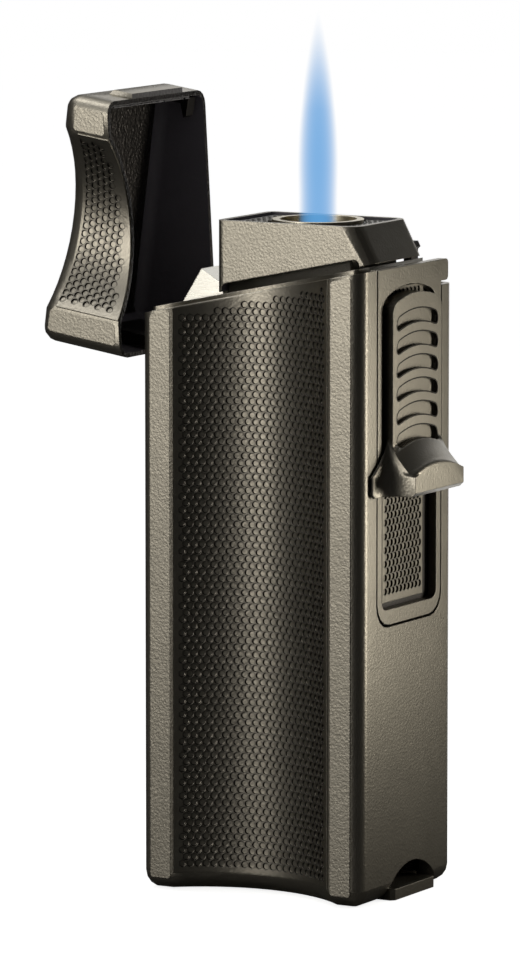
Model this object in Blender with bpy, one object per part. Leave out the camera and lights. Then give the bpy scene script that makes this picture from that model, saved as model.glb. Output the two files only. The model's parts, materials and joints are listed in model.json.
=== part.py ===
"""Pocket jet-flame butane torch: flip lid, side thumb slider, refillable tank and fold-out punch cutter.

Metres, +Z up. The origin is on the base face, at the middle of the case. The front is -Y, and the slider
side is +X. The lid is drawn open, as it rests; every other moving piece is drawn released.
"""

import math

import bmesh
import bpy
from mathutils import Matrix, Vector

MM = 0.001
FIT_GAP = 0.3 * MM          # air between two pieces that meet
RUN_GAP = 0.1 * MM          # radial air of a pin in its hole
SUNK = 0.05 * MM            # how far a solid is set into the one that it joins

# Case
CASE_WIDTH = 31.6 * MM
CASE_DEPTH = 24.6 * MM
CASE_TOP_Z = 76.37 * MM     # height of the slanted rim at the middle
RIM_SLANT = math.radians(11.87)
CORNER_RADIUS = 1.8 * MM
BASE_FILLET = 2.2 * MM
CASE_WALL = 0.8 * MM
FOOT_WIDTH = 2.6 * MM       # flat rim round the base opening, measured from the side
FOOT_HEIGHT = 1.6 * MM
STRIP_WIDTH = 4.5 * MM      # flat strip on each side of the concave front, corner included
SCOOP_DEPTH = 4.4 * MM
SIDE_X = CASE_WIDTH / 2
SIDE_Y = CASE_DEPTH / 2
SCOOP_HALF_WIDTH = SIDE_X - STRIP_WIDTH

# Lid
LID_OPEN = math.radians(81.4)
HINGE_X = -SIDE_X + 2.2 * MM
HINGE_Z = 68.6 * MM
LID_TOP_LEFT_Z = 85.65 * MM
LID_TOP_RIGHT_Z = 86.45 * MM
LID_FILLET = 2.0 * MM
LID_WALL = 0.6 * MM
PAD_HALF_WIDTH = 6.3 * MM
PAD_RAISE = 0.6 * MM
PAD_HEIGHT = 2.8 * MM
LID_RIB = 0.9 * MM          # thickness of the lid's wall on the slider side, near its mouth

# Torch head
HEAD_TOP_Z = 84.74 * MM
HEAD_LEFT_X = -SIDE_X + 7.94 * MM
HEAD_RIGHT_X = SIDE_X - 3.66 * MM
HEAD_HALF_DEPTH = SIDE_Y - SCOOP_DEPTH - LID_WALL - FIT_GAP
HEAD_FLARE = math.radians(27.8)
HEAD_LEFT_CORNER = 1.2 * MM
HEAD_RIGHT_CORNER = 2.0 * MM
HEAD_WALL = 0.8 * MM
AIR_SLOT = 1.3 * MM
AIR_SLOT_REACH = 0.5 * MM     # how far the slot runs past the top's right edge
AIR_SLOT_CORNER = 0.8 * MM
LEDGE_RISE = 0.55 * MM
DECK_THICKNESS = 1.35 * MM
COLLAR_WALL = 0.7 * MM
COLLAR_ABOVE_SLOT = 0.8 * MM
SCREEN_RECESS = 0.45 * MM
SCREEN_THICKNESS = 0.7 * MM

# Burner
BURNER_X = (HEAD_LEFT_X + HEAD_RIGHT_X) / 2 + 0.8 * MM
RING_OUTER_RADIUS = HEAD_HALF_DEPTH - HEAD_WALL - 0.42 * MM
RING_INNER_RADIUS = RING_OUTER_RADIUS - 0.93 * MM
RING_HEIGHT = 1.7 * MM
RING_WALL = 0.45 * MM
NOZZLE_RADIUS = RING_INNER_RADIUS - 1.25 * MM
NOZZLE_BORE_RADIUS = NOZZLE_RADIUS - 0.5 * MM
NOZZLE_LENGTH = 7.6 * MM
NOZZLE_FLOOR = 1.2 * MM
JET_RADIUS = 0.7 * MM
TUBE_RADIUS = 2.6 * MM
TUBE_BORE_RADIUS = 1.8 * MM
TUBE_LENGTH = 19.0 * MM
TUBE_FLOOR = 2.0 * MM
AIR_HOLE_RADIUS = 0.9 * MM
AIR_HOLE_HEIGHT = 4.0 * MM
ELECTRODE_RADIUS = 0.35 * MM
ELECTRODE_LENGTH = 6.0 * MM

# Side plate and slider
SIDE_CENTRE_Y = 0.4 * MM
SIDE_PLATE_HALF_WIDTH = SIDE_Y - 4.0 * MM
SIDE_PLATE_BOTTOM_Z = 35.0 * MM
SIDE_PLATE_THICKNESS = 1.2 * MM
SIDE_PLATE_CORNER = 3.0 * MM
TAB_REACH = 1.9 * MM
TAB_HEIGHT = 2.7 * MM
TAB_CORNER = 0.6 * MM
WINDOW_HALF_WIDTH = SIDE_PLATE_HALF_WIDTH - 1.1 * MM
WINDOW_BOTTOM_RISE = 1.9 * MM
WINDOW_CORNER = 1.2 * MM
ARCH_Z = 77.3 * MM
ARCH_RADIUS = 16.0 * MM
ARCH_CORNER = 1.6 * MM
TRACK_THICKNESS = 0.8 * MM
SLIDER_HALF_WIDTH = WINDOW_HALF_WIDTH - 0.8 * MM
SLIDER_TOP_Z = 76.35 * MM
SLIDER_BOTTOM_Z = 51.4 * MM
SLIDER_CORNER = 0.9 * MM
SLIDER_PROUD = 1.1 * MM
LIP_PROUD = 4.3 * MM
LIP_HEIGHT = 4.0 * MM
LIP_EDGE = 0.5 * MM
LIP_SWEEP_HEIGHT = 4.4 * MM
FLARE_HALF_WIDTH = SLIDER_HALF_WIDTH + 4.2 * MM
SLIDER_TRAVEL = 5.5 * MM
POCKET_COUNT = 6
POCKET_PITCH = 2.93 * MM
POCKET_HEIGHT = 1.75 * MM
POCKET_HALF_WIDTH = SLIDER_HALF_WIDTH - 1.0 * MM
POCKET_DEPTH = 0.6 * MM
POCKET_CORNER = 0.75 * MM
FIRST_POCKET_DROP = 2.0 * MM
STEM_HALF_WIDTH = 1.2 * MM
STEM_HEIGHT = 4.0 * MM
STEM_LENGTH = 2.0 * MM
STEM_TOP_Z = 70.0 * MM
CARRIAGE_HALF_WIDTH = 3.4 * MM
CARRIAGE_HEIGHT = 6.5 * MM
CARRIAGE_THICKNESS = 2.6 * MM
CARRIAGE_RISE = 1.0 * MM    # how far the carriage stands above the stem
SPRING_ARM_HEIGHT = 2.0 * MM

# Base and punch cutter
BASE_PLATE_THICKNESS = 1.6 * MM
PUNCH_PIVOT_X = SIDE_X - 12.8 * MM
PUNCH_PIVOT_Z = 1.7 * MM
PUNCH_Y = 1.0 * MM
PUNCH_ROOT_HALF_WIDTH = SIDE_Y - SCOOP_DEPTH - FOOT_WIDTH - 1.1 * MM
PUNCH_HALF_WIDTH = PUNCH_ROOT_HALF_WIDTH + 1.4 * MM
PUNCH_SHOULDER_X = SIDE_X - 8.2 * MM
PUNCH_PLATE_THICKNESS = 1.4 * MM
PUNCH_EDGE = 0.5 * MM
PUNCH_PROUD = 0.6 * MM
PUNCH_KNUCKLE_RADIUS = 1.45 * MM
PUNCH_PIN_RADIUS = 0.6 * MM
LUG_WIDTH = 1.3 * MM
LUG_HALF_LENGTH = 1.5 * MM
CUTTER_X = SIDE_X - 7.0 * MM
CUTTER_RADIUS = PUNCH_ROOT_HALF_WIDTH - 0.6 * MM
CUTTER_WALL = 0.45 * MM
CUTTER_HEIGHT = 5.7 * MM
CUTTER_FLOOR = 0.6 * MM
CUTTER_BEVEL = 0.8 * MM
NAIL_NOTCH_RADIUS = 8.2 * MM
NAIL_NOTCH_Y = 1.5 * MM
NAIL_NOTCH_TOP_Z = 4.2 * MM
SCREW_RADIUS = 0.9 * MM
SCREW_LENGTH = 4.2 * MM
SCREW_HEAD_RADIUS = 1.65 * MM
SCREW_HEAD_HEIGHT = 0.65 * MM
SCREW_SUNK = 0.15 * MM
BACK_SCREW_SHIFT_X = 0.8 * MM
BACK_SCREW_SHIFT_Y = 1.1 * MM
FRONT_SCREW_SHIFT_X = 0.1 * MM
FRONT_SCREW_SHIFT_Y = 1.0 * MM
DRIVE_WIDTH = 0.36 * MM
DRIVE_DEPTH = 0.3 * MM

# Tank and valves
TANK_BOTTOM_Z = 3.7 * MM
TANK_TOP_Z = 34.3 * MM
TANK_WALL = 1.2 * MM
FILLER_X = -SIDE_X + 6.8 * MM
FILLER_RADIUS = 2.0 * MM
FILLER_BORE_RADIUS = 1.0 * MM
FILLER_HEIGHT = 8.6 * MM
FILLER_SUNK = 0.4 * MM
FILLER_FLOOR = 0.6 * MM
FILLER_STEM_RADIUS = 0.6 * MM
FILLER_TRAVEL = 1.0 * MM
SEAL_RADIUS = 0.4 * MM
VALVE_X = PUNCH_PIVOT_X - 5.0 * MM
VALVE_Y = SIDE_Y - 6.1 * MM
ADJUSTER_RADIUS = 2.0 * MM
ADJUSTER_THICKNESS = 1.1 * MM
ADJUSTER_SUNK = 0.3 * MM
SPINDLE_RADIUS = 0.8 * MM
SPINDLE_ENGAGED = 2.5 * MM
VALVE_RADIUS = 2.6 * MM
VALVE_LENGTH = 10.0 * MM
VALVE_SUNK = 2.0 * MM       # how far the outlet valve reaches into the tank
VALVE_STEM_RADIUS = 0.8 * MM
VALVE_STEM_ENGAGED = 4.0 * MM
VALVE_LIFT = 0.66 * MM
COLLAR_RADIUS = 1.36 * MM
COLLAR_HEIGHT = 0.8 * MM
STEM_ABOVE_COLLAR = 2.2 * MM
FRAME_THICKNESS = 1.2 * MM
LEVER_PIVOT_X = VALVE_X + 5.0 * MM
LEVER_HALF_WIDTH = 1.3 * MM
LEVER_THICKNESS = 1.1 * MM
LEVER_HEIGHT = 8.3 * MM     # lever axis above the frame plate
LEVER_HUB_RADIUS = 1.05 * MM
FORK_LENGTH = 1.6 * MM      # how far the fork's tines pass the stem
EAR_THICKNESS = 0.8 * MM
EAR_HALF_LENGTH = 1.2 * MM
SMALL_PIN_RADIUS = 0.5 * MM
HOSE_RADIUS = 0.9 * MM

# Ignition
PIEZO_X = SIDE_X - 5.3 * MM
PIEZO_HALF_X = 2.3 * MM
PIEZO_HALF_Y = 3.4 * MM
PIEZO_HEIGHT = 20.0 * MM
PIEZO_WALL = 0.7 * MM
PLUNGER_ENGAGED = 5.0 * MM
WIRE_RADIUS = 0.6 * MM

# Springs
SLIDER_SPRING_RADIUS = 1.4 * MM
SLIDER_SPRING_WIRE = 0.22 * MM
SLIDER_SPRING_TURNS = 7
SLIDER_SPRING_OFFSET_Y = 5.9 * MM
SLIDER_SPRING_SOLID = 2.2 * MM      # room for the spring when the slider is down
SHELF_THICKNESS = 0.8 * MM
LID_SPRING_WIRE = 0.27 * MM
LID_SPRING_TURNS = 5
LID_SPRING_LENGTH = 5.4 * MM

# Hinge and latch
HINGE_PIN_RADIUS = 0.7 * MM
HINGE_BLOCK_HALF_WIDTH = 4.0 * MM
RIDGE_X = -SIDE_X + 4.2 * MM
RIDGE_RISE = 4.25 * MM
RIDGE_SLOPE = 0.6
SHOULDER_HEIGHT = 2.2 * MM
HINGE_PLATE_THICKNESS = 0.8 * MM
HINGE_WEB_RISE = 3.4 * MM
HINGE_WEB_DROP = 2.0 * MM
EAR_ARM_EXTRA = 0.7 * MM    # how much thicker the ears' arms are than the web
EAR_WIDTH = 2.0 * MM
EAR_RADIUS = 1.6 * MM
LATCH_X = SIDE_X - 4.8 * MM
LATCH_Y = SIDE_Y - 2.7 * MM
LATCH_Z = 70.0 * MM
LATCH_HALF_WIDTH = 0.9 * MM
LATCH_HALF_THICKNESS = 0.55 * MM
LATCH_LENGTH = 11.6 * MM
LATCH_TAIL = 3.0 * MM
LATCH_HUB_RADIUS = 1.1 * MM
LATCH_NOSE = 0.35 * MM
LATCH_ROOM = 2.2 * MM       # free space behind the latch in the deck
LUG_THICKNESS = 0.9 * MM

CORNER_STEPS = 4
SCOOP_STEPS = 14
ROUND_SIDES = 24
SMALL_SIDES = 12

TAN_SLANT = math.tan(RIM_SLANT)
LEDGE_INSET = CASE_WALL + FIT_GAP
FRAME_Z = TANK_TOP_Z + FIT_GAP
TRACK_X = SIDE_X - SIDE_PLATE_THICKNESS     # outer face of the track plate
TRACK_BACK_X = TRACK_X - TRACK_THICKNESS
LEVER_Z = FRAME_Z + FRAME_THICKNESS + LEVER_HEIGHT
CARRIAGE_TOP_Z = STEM_TOP_Z + CARRIAGE_RISE
CARRIAGE_BOTTOM_Z = CARRIAGE_TOP_Z - CARRIAGE_HEIGHT
CARRIAGE_FACE_X = TRACK_X + FIT_GAP - STEM_LENGTH - FIT_GAP

PARTS = None
CUTTERS = None


# -------------------------------------------------------------------------------------- scene and materials

def clear_scene():
    """Remove every object, and make the collections for the parts and their cutters."""
    global PARTS, CUTTERS
    for obj in list(bpy.data.objects):
        bpy.data.objects.remove(obj, do_unlink=True)
    PARTS = bpy.data.collections.new("jet_torch")
    CUTTERS = bpy.data.collections.new("jet_torch_cutters")
    for collection in (PARTS, CUTTERS):
        bpy.context.scene.collection.children.link(collection)


def finish_material(name, colour, roughness, metallic):
    """A Principled material; pieces of one finish share it."""
    material = bpy.data.materials.get(name)
    if material:
        return material
    material = bpy.data.materials.new(name)
    material.use_nodes = True
    shader = material.node_tree.nodes["Principled BSDF"]
    shader.inputs["Base Color"].default_value = (*colour, 1.0)
    shader.inputs["Roughness"].default_value = roughness
    shader.inputs["Metallic"].default_value = metallic
    return material


def gunmetal():
    return finish_material("gunmetal_satin", (0.30, 0.28, 0.24), 0.38, 1.0)


def black_metal():
    return finish_material("black_metal", (0.03, 0.03, 0.03), 0.45, 0.6)


def nickel():
    return finish_material("bright_nickel", (0.78, 0.75, 0.70), 0.25, 1.0)


def brass():
    return finish_material("pale_brass", (0.62, 0.52, 0.36), 0.3, 1.0)


def steel():
    return finish_material("spring_steel", (0.55, 0.56, 0.58), 0.3, 1.0)


def clear_resin():
    return finish_material("tank_resin", (0.55, 0.56, 0.55), 0.35, 0.0)


def black_resin():
    return finish_material("black_resin", (0.03, 0.03, 0.035), 0.5, 0.0)


def rubber():
    return finish_material("seal_rubber", (0.02, 0.02, 0.02), 0.8, 0.0)


# -------------------------------------------------------------------------------------------- shape helpers

def make_object(name, bm, material=None, smooth=True):
    """Turn a bmesh into a named object. Without a material it is a cutter."""
    bmesh.ops.recalc_face_normals(bm, faces=bm.faces)
    mesh = bpy.data.meshes.new(name)
    bm.to_mesh(mesh)
    bm.free()
    obj = bpy.data.objects.new(name, mesh)
    if material:
        PARTS.objects.link(obj)
        mesh.materials.append(material)
    else:
        CUTTERS.objects.link(obj)
        obj.hide_render = True
        obj.display_type = "WIRE"
    if smooth:
        mesh.shade_smooth()
        mesh.set_sharp_from_angle(angle=math.radians(32))
    return obj


def box(name, low, high, material=None):
    """An axis-aligned box between two corners."""
    bm = bmesh.new()
    bmesh.ops.create_cube(bm, size=1.0)
    size = [h - l for l, h in zip(low, high)]
    centre = [(h + l) / 2 for l, h in zip(low, high)]
    bmesh.ops.scale(bm, vec=size, verts=bm.verts)
    bmesh.ops.translate(bm, vec=centre, verts=bm.verts)
    return make_object(name, bm, material, smooth=False)


def rod(name, radius, start, end, material=None, sides=ROUND_SIDES, end_radius=None):
    """A cylinder, or a cone where end_radius is given, from one point to another."""
    start = Vector(start)
    end = Vector(end)
    axis = end - start
    bm = bmesh.new()
    top = radius if end_radius is None else end_radius
    bmesh.ops.create_cone(bm, cap_ends=True, segments=sides, radius1=radius, radius2=top, depth=axis.length)
    turn = Vector((0, 0, 1)).rotation_difference(axis).to_matrix().to_4x4()
    bmesh.ops.transform(bm, matrix=Matrix.Translation((start + end) / 2) @ turn, verts=bm.verts)
    return make_object(name, bm, material)


def loft(name, rings, material=None):
    """A closed solid through rings of equally many points, listed from the bottom up."""
    bm = bmesh.new()
    loops = [[bm.verts.new(point) for point in ring] for ring in rings]
    count = len(loops[0])
    for low, high in zip(loops, loops[1:]):
        for i in range(count):
            j = (i + 1) % count
            bm.faces.new((low[i], low[j], high[j], high[i]))
    bm.faces.new(reversed(loops[0]))
    bm.faces.new(loops[-1])
    return make_object(name, bm, material)


def prism(name, outline, low, high, axis="Z", material=None):
    """A flat outline, given in the plane square to the axis, extruded from low to high along it."""
    curve = bpy.data.curves.new(name + "_outline", "CURVE")
    curve.dimensions = "2D"
    curve.fill_mode = "BOTH"
    curve.extrude = (high - low) / 2
    spline = curve.splines.new("POLY")
    spline.points.add(len(outline) - 1)
    for point, (u, v) in zip(spline.points, outline):
        point.co = (u, v, 0, 1)
    spline.use_cyclic_u = True
    source = bpy.data.objects.new(name + "_outline", curve)
    PARTS.objects.link(source)
    source.location.z = (high + low) / 2
    bpy.context.view_layer.update()
    mesh = bpy.data.meshes.new_from_object(source.evaluated_get(bpy.context.evaluated_depsgraph_get()))
    bm = bmesh.new()
    bm.from_mesh(mesh)
    bmesh.ops.transform(bm, matrix=source.matrix_world, verts=bm.verts)
    bmesh.ops.remove_doubles(bm, verts=bm.verts, dist=0.001 * MM)
    turns = {
        "Z": Matrix.Identity(4),
        "X": Matrix(((0, 0, 1, 0), (1, 0, 0, 0), (0, 1, 0, 0), (0, 0, 0, 1))),
        "Y": Matrix(((1, 0, 0, 0), (0, 0, 1, 0), (0, 1, 0, 0), (0, 0, 0, 1))),
    }
    bmesh.ops.transform(bm, matrix=turns[axis], verts=bm.verts)
    bpy.data.objects.remove(source, do_unlink=True)
    bpy.data.curves.remove(curve)
    bpy.data.meshes.remove(mesh)
    return make_object(name, bm, material)


def wire(name, points, radius, material, resolution=2):
    """A round wire or hose along points, with filled ends."""
    curve = bpy.data.curves.new(name, "CURVE")
    curve.dimensions = "3D"
    curve.bevel_depth = radius
    curve.bevel_resolution = resolution
    curve.use_fill_caps = True
    spline = curve.splines.new("POLY")
    spline.points.add(len(points) - 1)
    for point, place in zip(spline.points, points):
        point.co = (*place, 1)
    curve.materials.append(material)
    obj = bpy.data.objects.new(name, curve)
    PARTS.objects.link(obj)
    return obj


def boolean(obj, tool, operation):
    modifier = obj.modifiers.new(tool.name, "BOOLEAN")
    modifier.operation = operation
    modifier.solver = "EXACT"
    modifier.object = tool


def cut(obj, *tools):
    for tool in tools:
        boolean(obj, tool, "DIFFERENCE")
    return obj


def join(obj, *tools):
    for tool in tools:
        boolean(obj, tool, "UNION")
    return obj


def turn_about(obj, angle, pivot):
    """Turn an object, and the tools that shape it, about an axis along Y through the pivot (x, z)."""
    place = Vector((pivot[0], 0, pivot[1]))
    move = Matrix.Translation(place) @ Matrix.Rotation(angle, 4, "Y") @ Matrix.Translation(-place)
    for piece in [obj] + [modifier.object for modifier in obj.modifiers]:
        piece.data.transform(move)


def origin_at(obj, pivot):
    """Put an object's origin on its joint's axis, its shape staying where it is."""
    obj.data.transform(Matrix.Translation(-Vector(pivot)))
    obj.location = pivot


def arc(centre, radius, start, end, steps):
    """Points on an arc, in degrees, both ends included."""
    points = []
    for i in range(steps + 1):
        angle = math.radians(start + (end - start) * i / steps)
        points.append((centre[0] + radius * math.cos(angle), centre[1] + radius * math.sin(angle)))
    return points


def rounded_rectangle(low, high, radius, steps=CORNER_STEPS):
    """A rectangle with round corners, anticlockwise."""
    points = arc((high[0] - radius, low[1] + radius), radius, -90, 0, steps)
    points += arc((high[0] - radius, high[1] - radius), radius, 0, 90, steps)
    points += arc((low[0] + radius, high[1] - radius), radius, 90, 180, steps)
    points += arc((low[0] + radius, low[1] + radius), radius, 180, 270, steps)
    return points


def rim_z(x, rise=0.0):
    """Height of the slanted rim plane at x."""
    return CASE_TOP_Z + TAN_SLANT * x + rise


def case_outline(inset):
    """Plan of the case, drawn in by an inset: round corners, flat back and sides, and the scooped front."""
    half_x = CASE_WIDTH / 2 - inset
    half_y = CASE_DEPTH / 2 - inset
    radius = max(CORNER_RADIUS - inset, 0.2 * MM)
    points = rounded_rectangle((-half_x, -half_y), (half_x, half_y), radius)
    scoop_radius = (SCOOP_HALF_WIDTH ** 2 + SCOOP_DEPTH ** 2) / (2 * SCOOP_DEPTH)
    scoop_centre_y = SCOOP_DEPTH - CASE_DEPTH / 2 - scoop_radius
    reach = scoop_radius + inset
    swing = math.degrees(math.acos((-half_y - scoop_centre_y) / reach))
    return points + arc((0, scoop_centre_y), reach, 90 + swing, 90 - swing, SCOOP_STEPS)


def case_ring(inset, height):
    """The case's plan at a height: a number, or a rule that gives z at x."""
    return [(x, y, height(x) if callable(height) else height) for x, y in case_outline(inset)]


def fillet_rings(radius, inset, edge_z, upwards, steps=4):
    """Rings that round an edge between the sides and a flat end."""
    rings = []
    for i in range(steps + 1):
        angle = math.pi / 2 * i / steps
        drop = radius * (1 - math.sin(angle))
        rings.append((inset + radius * (1 - math.cos(angle)), drop))
    if not upwards:
        rings.reverse()
    sign = -1 if upwards else 1
    return [case_ring(t, (lambda x, d=d: edge_z(x) + sign * d)) for t, d in rings]


# ----------------------------------------------------------------------------------------------------- case

def side_plate_outline(gap=0.0):
    """Outline in (y, z) of the plate on the slider side, with its tab at the back corner."""
    left = SIDE_CENTRE_Y - SIDE_PLATE_HALF_WIDTH - gap
    right = SIDE_CENTRE_Y + SIDE_PLATE_HALF_WIDTH + gap
    bottom = SIDE_PLATE_BOTTOM_Z - gap
    top = rim_z(SIDE_X) - 0.1 * MM
    tab_z = top - TAB_HEIGHT - gap
    radius = SIDE_PLATE_CORNER
    points = arc((left + radius, bottom + radius), radius, 180, 270, CORNER_STEPS)
    points += arc((right - radius, bottom + radius), radius, 270, 360, CORNER_STEPS)
    points += [(right, tab_z)]
    tab = (right + TAB_REACH - TAB_CORNER, tab_z + TAB_CORNER)
    points += arc(tab, TAB_CORNER, 270, 360, CORNER_STEPS)
    tab = (right + TAB_REACH - TAB_CORNER, top - TAB_CORNER)
    points += arc(tab, TAB_CORNER, 0, 90, CORNER_STEPS)
    points += [(left, top)]
    return points


def make_case_shell():
    """The housing: a scooped tube with a slanted rim, rounded at the base."""
    rings = fillet_rings(BASE_FILLET, 0, lambda x: 0.0, upwards=False)
    rings.append(case_ring(0, rim_z))
    shell = loft("case_shell", rings, gunmetal())
    below = -1.0 * MM
    above = rim_z(SIDE_X) + 2 * MM
    cavity = loft("case_cavity", [
        case_ring(FOOT_WIDTH, below),
        case_ring(FOOT_WIDTH, FOOT_HEIGHT),
        case_ring(CASE_WALL, FOOT_HEIGHT + FOOT_WIDTH - CASE_WALL),
        case_ring(CASE_WALL, above),
    ])
    outline = side_plate_outline(FIT_GAP)
    outline[-2:] = [(outline[-2][0], above), (outline[-1][0], above)]
    window = prism("side_window", outline, SIDE_X - 2 * SIDE_PLATE_THICKNESS, SIDE_X + MM, "X")
    right = SIDE_CENTRE_Y + SIDE_PLATE_HALF_WIDTH
    notch = box("corner_notch",
                (SIDE_X - 2 * SIDE_PLATE_THICKNESS, right, rim_z(SIDE_X) - TAB_HEIGHT - 2 * FIT_GAP),
                (SIDE_X + MM, CASE_DEPTH, above))
    ear_y = HINGE_BLOCK_HALF_WIDTH + EAR_WIDTH + 3 * FIT_GAP
    hinge_gate = box("hinge_gate", (-CASE_WIDTH, -ear_y, HINGE_Z - EAR_RADIUS - 2 * FIT_GAP),
                     (-SIDE_X + 2 * CASE_WALL, ear_y, above))
    half = PUNCH_HALF_WIDTH + FIT_GAP
    arm_gate = box("punch_gate", (PUNCH_SHOULDER_X, PUNCH_Y - half, -MM),
                   (CASE_WIDTH, PUNCH_Y + half, PUNCH_PLATE_THICKNESS + FIT_GAP))
    return cut(shell, cavity, window, notch, hinge_gate, arm_gate, nail_notch("nail_notch"))


def nail_notch(name):
    """Cutter for the half-moon over the end of the punch arm."""
    z = NAIL_NOTCH_TOP_Z - NAIL_NOTCH_RADIUS
    inner_x = SIDE_X - FOOT_WIDTH - MM
    return rod(name, NAIL_NOTCH_RADIUS, (inner_x, NAIL_NOTCH_Y, z), (SIDE_X + 2 * MM, NAIL_NOTCH_Y, z),
               sides=48)


def make_base_plate():
    """The floor of the case: the punch arm's slot and lugs, and holes for filler, adjuster and screws."""
    inset = FOOT_WIDTH + FIT_GAP
    plate = loft("base_plate", [case_ring(inset, 0.0), case_ring(inset, BASE_PLATE_THICKNESS)], gunmetal())
    half = PUNCH_HALF_WIDTH + FIT_GAP
    root_half = PUNCH_ROOT_HALF_WIDTH + FIT_GAP
    slot_x = PUNCH_PIVOT_X - PUNCH_PIVOT_Z - FIT_GAP
    lug_top = PUNCH_PIVOT_Z + PUNCH_PIN_RADIUS + 0.9 * MM
    for side in (-1, 1):
        near = PUNCH_Y + side * root_half
        far = near + side * LUG_WIDTH
        lug = box(f"lug_{side + 1}", (PUNCH_PIVOT_X - LUG_HALF_LENGTH, min(near, far), 0.5 * MM),
                  (PUNCH_PIVOT_X + LUG_HALF_LENGTH, max(near, far), lug_top))
        join(plate, lug)
    high = BASE_PLATE_THICKNESS + 3 * MM
    root_slot = box("root_slot", (slot_x, PUNCH_Y - root_half, -MM), (CASE_WIDTH, PUNCH_Y + root_half, high))
    leaf_slot = box("leaf_slot", (PUNCH_SHOULDER_X - FIT_GAP, PUNCH_Y - half, -MM),
                    (CASE_WIDTH, PUNCH_Y + half, high))
    reach = root_half + 2 * MM
    pin_hole = rod("punch_pin_hole", PUNCH_PIN_RADIUS + RUN_GAP,
                   (PUNCH_PIVOT_X, PUNCH_Y - reach, PUNCH_PIVOT_Z),
                   (PUNCH_PIVOT_X, PUNCH_Y + reach, PUNCH_PIVOT_Z), sides=SMALL_SIDES)
    above = BASE_PLATE_THICKNESS + MM
    filler_hole = rod("filler_hole", FILLER_RADIUS + FIT_GAP, (FILLER_X, 0, -MM), (FILLER_X, 0, above))
    wheel_hole = rod("wheel_hole", ADJUSTER_RADIUS + FIT_GAP, (VALVE_X, VALVE_Y, -MM),
                     (VALVE_X, VALVE_Y, above))
    cut(plate, root_slot, leaf_slot, pin_hole, filler_hole, wheel_hole)
    for i, (x, y) in enumerate(screw_places()):
        cut(plate,
            rod(f"screw_hole_{i}", SCREW_RADIUS + RUN_GAP, (x, y, -MM), (x, y, above), sides=SMALL_SIDES),
            rod(f"screw_sink_{i}", SCREW_HEAD_RADIUS + RUN_GAP, (x, y, -MM),
                (x, y, SCREW_SUNK + SCREW_HEAD_HEIGHT + RUN_GAP), sides=ROUND_SIDES))
    return plate


def screw_places():
    """Where the two base screws go, near the back left and front left corners."""
    inset = FOOT_WIDTH + FIT_GAP + SCREW_HEAD_RADIUS
    back = (-SIDE_X + inset + BACK_SCREW_SHIFT_X, SIDE_Y - inset - BACK_SCREW_SHIFT_Y)
    front = (-SIDE_X + inset + FRONT_SCREW_SHIFT_X, inset + FRONT_SCREW_SHIFT_Y - SIDE_Y)
    return back, front


def make_base_screws():
    for i, (x, y) in enumerate(screw_places()):
        name = f"base_screw_{i + 1}"
        top = SCREW_SUNK + SCREW_HEAD_HEIGHT
        head = rod(name, SCREW_HEAD_RADIUS, (x, y, SCREW_SUNK), (x, y, top), steel())
        shank = rod(name + "_shank", SCREW_RADIUS, (x, y, top - SCREW_HEAD_HEIGHT / 2), (x, y, SCREW_LENGTH),
                    sides=SMALL_SIDES)
        reach = SCREW_HEAD_RADIUS - 4 * RUN_GAP
        drive = box(name + "_drive", (x - reach, y - DRIVE_WIDTH / 2, -MM),
                    (x + reach, y + DRIVE_WIDTH / 2, SCREW_SUNK + DRIVE_DEPTH))
        cut(join(head, shank), drive)


# --------------------------------------------------------------------------------------------- punch cutter

def make_punch_arm():
    """The fold-out arm in the base: a flat leaf with a round knuckle on its pin."""
    y0 = PUNCH_Y - PUNCH_ROOT_HALF_WIDTH
    y1 = PUNCH_Y + PUNCH_ROOT_HALF_WIDTH
    end_x = SIDE_X + PUNCH_PROUD
    wide0 = PUNCH_Y - PUNCH_HALF_WIDTH
    wide1 = PUNCH_Y + PUNCH_HALF_WIDTH
    edge = PUNCH_EDGE
    leaf = prism("punch_arm", [
        (PUNCH_PIVOT_X, y0), (PUNCH_SHOULDER_X, y0), (PUNCH_SHOULDER_X, wide0), (end_x - edge, wide0),
        (end_x, wide0 + edge), (end_x, wide1 - edge), (end_x - edge, wide1), (PUNCH_SHOULDER_X, wide1),
        (PUNCH_SHOULDER_X, y1), (PUNCH_PIVOT_X, y1)], 0.0, PUNCH_PLATE_THICKNESS, "Z", gunmetal())
    pivot = (PUNCH_PIVOT_X, PUNCH_PIVOT_Z)
    knuckle = rod("knuckle", PUNCH_KNUCKLE_RADIUS, (pivot[0], y0 + SUNK, pivot[1]),
                  (pivot[0], y1 - SUNK, pivot[1]), sides=20)
    bore = rod("knuckle_bore", PUNCH_PIN_RADIUS + RUN_GAP, (pivot[0], y0 - MM, pivot[1]),
               (pivot[0], y1 + MM, pivot[1]), sides=SMALL_SIDES)
    return cut(join(leaf, knuckle), bore)


def make_punch_cutter():
    """The round blade: a thin tube that stands on the arm, with a bevelled mouth."""
    z0 = PUNCH_PLATE_THICKNESS + FIT_GAP
    z1 = z0 + CUTTER_HEIGHT
    inner = CUTTER_RADIUS - CUTTER_WALL
    bm = bmesh.new()
    profile = [(CUTTER_RADIUS, z0), (CUTTER_RADIUS, z1 - CUTTER_BEVEL), (inner + CUTTER_WALL / 5, z1),
               (inner, z1), (inner, z0 + CUTTER_FLOOR), (0.0, z0 + CUTTER_FLOOR), (0.0, z0)]
    verts = [bm.verts.new((CUTTER_X + r, PUNCH_Y, z)) for r, z in profile]
    edges = [bm.edges.new(pair) for pair in zip(verts, verts[1:] + verts[:1])]
    bmesh.ops.spin(bm, geom=verts + edges, cent=(CUTTER_X, PUNCH_Y, 0), axis=(0, 0, 1),
                   angle=2 * math.pi, steps=ROUND_SIDES, use_duplicate=False)
    bmesh.ops.remove_doubles(bm, verts=bm.verts, dist=0.01 * MM)
    return make_object("punch_cutter", bm, nickel())


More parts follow.
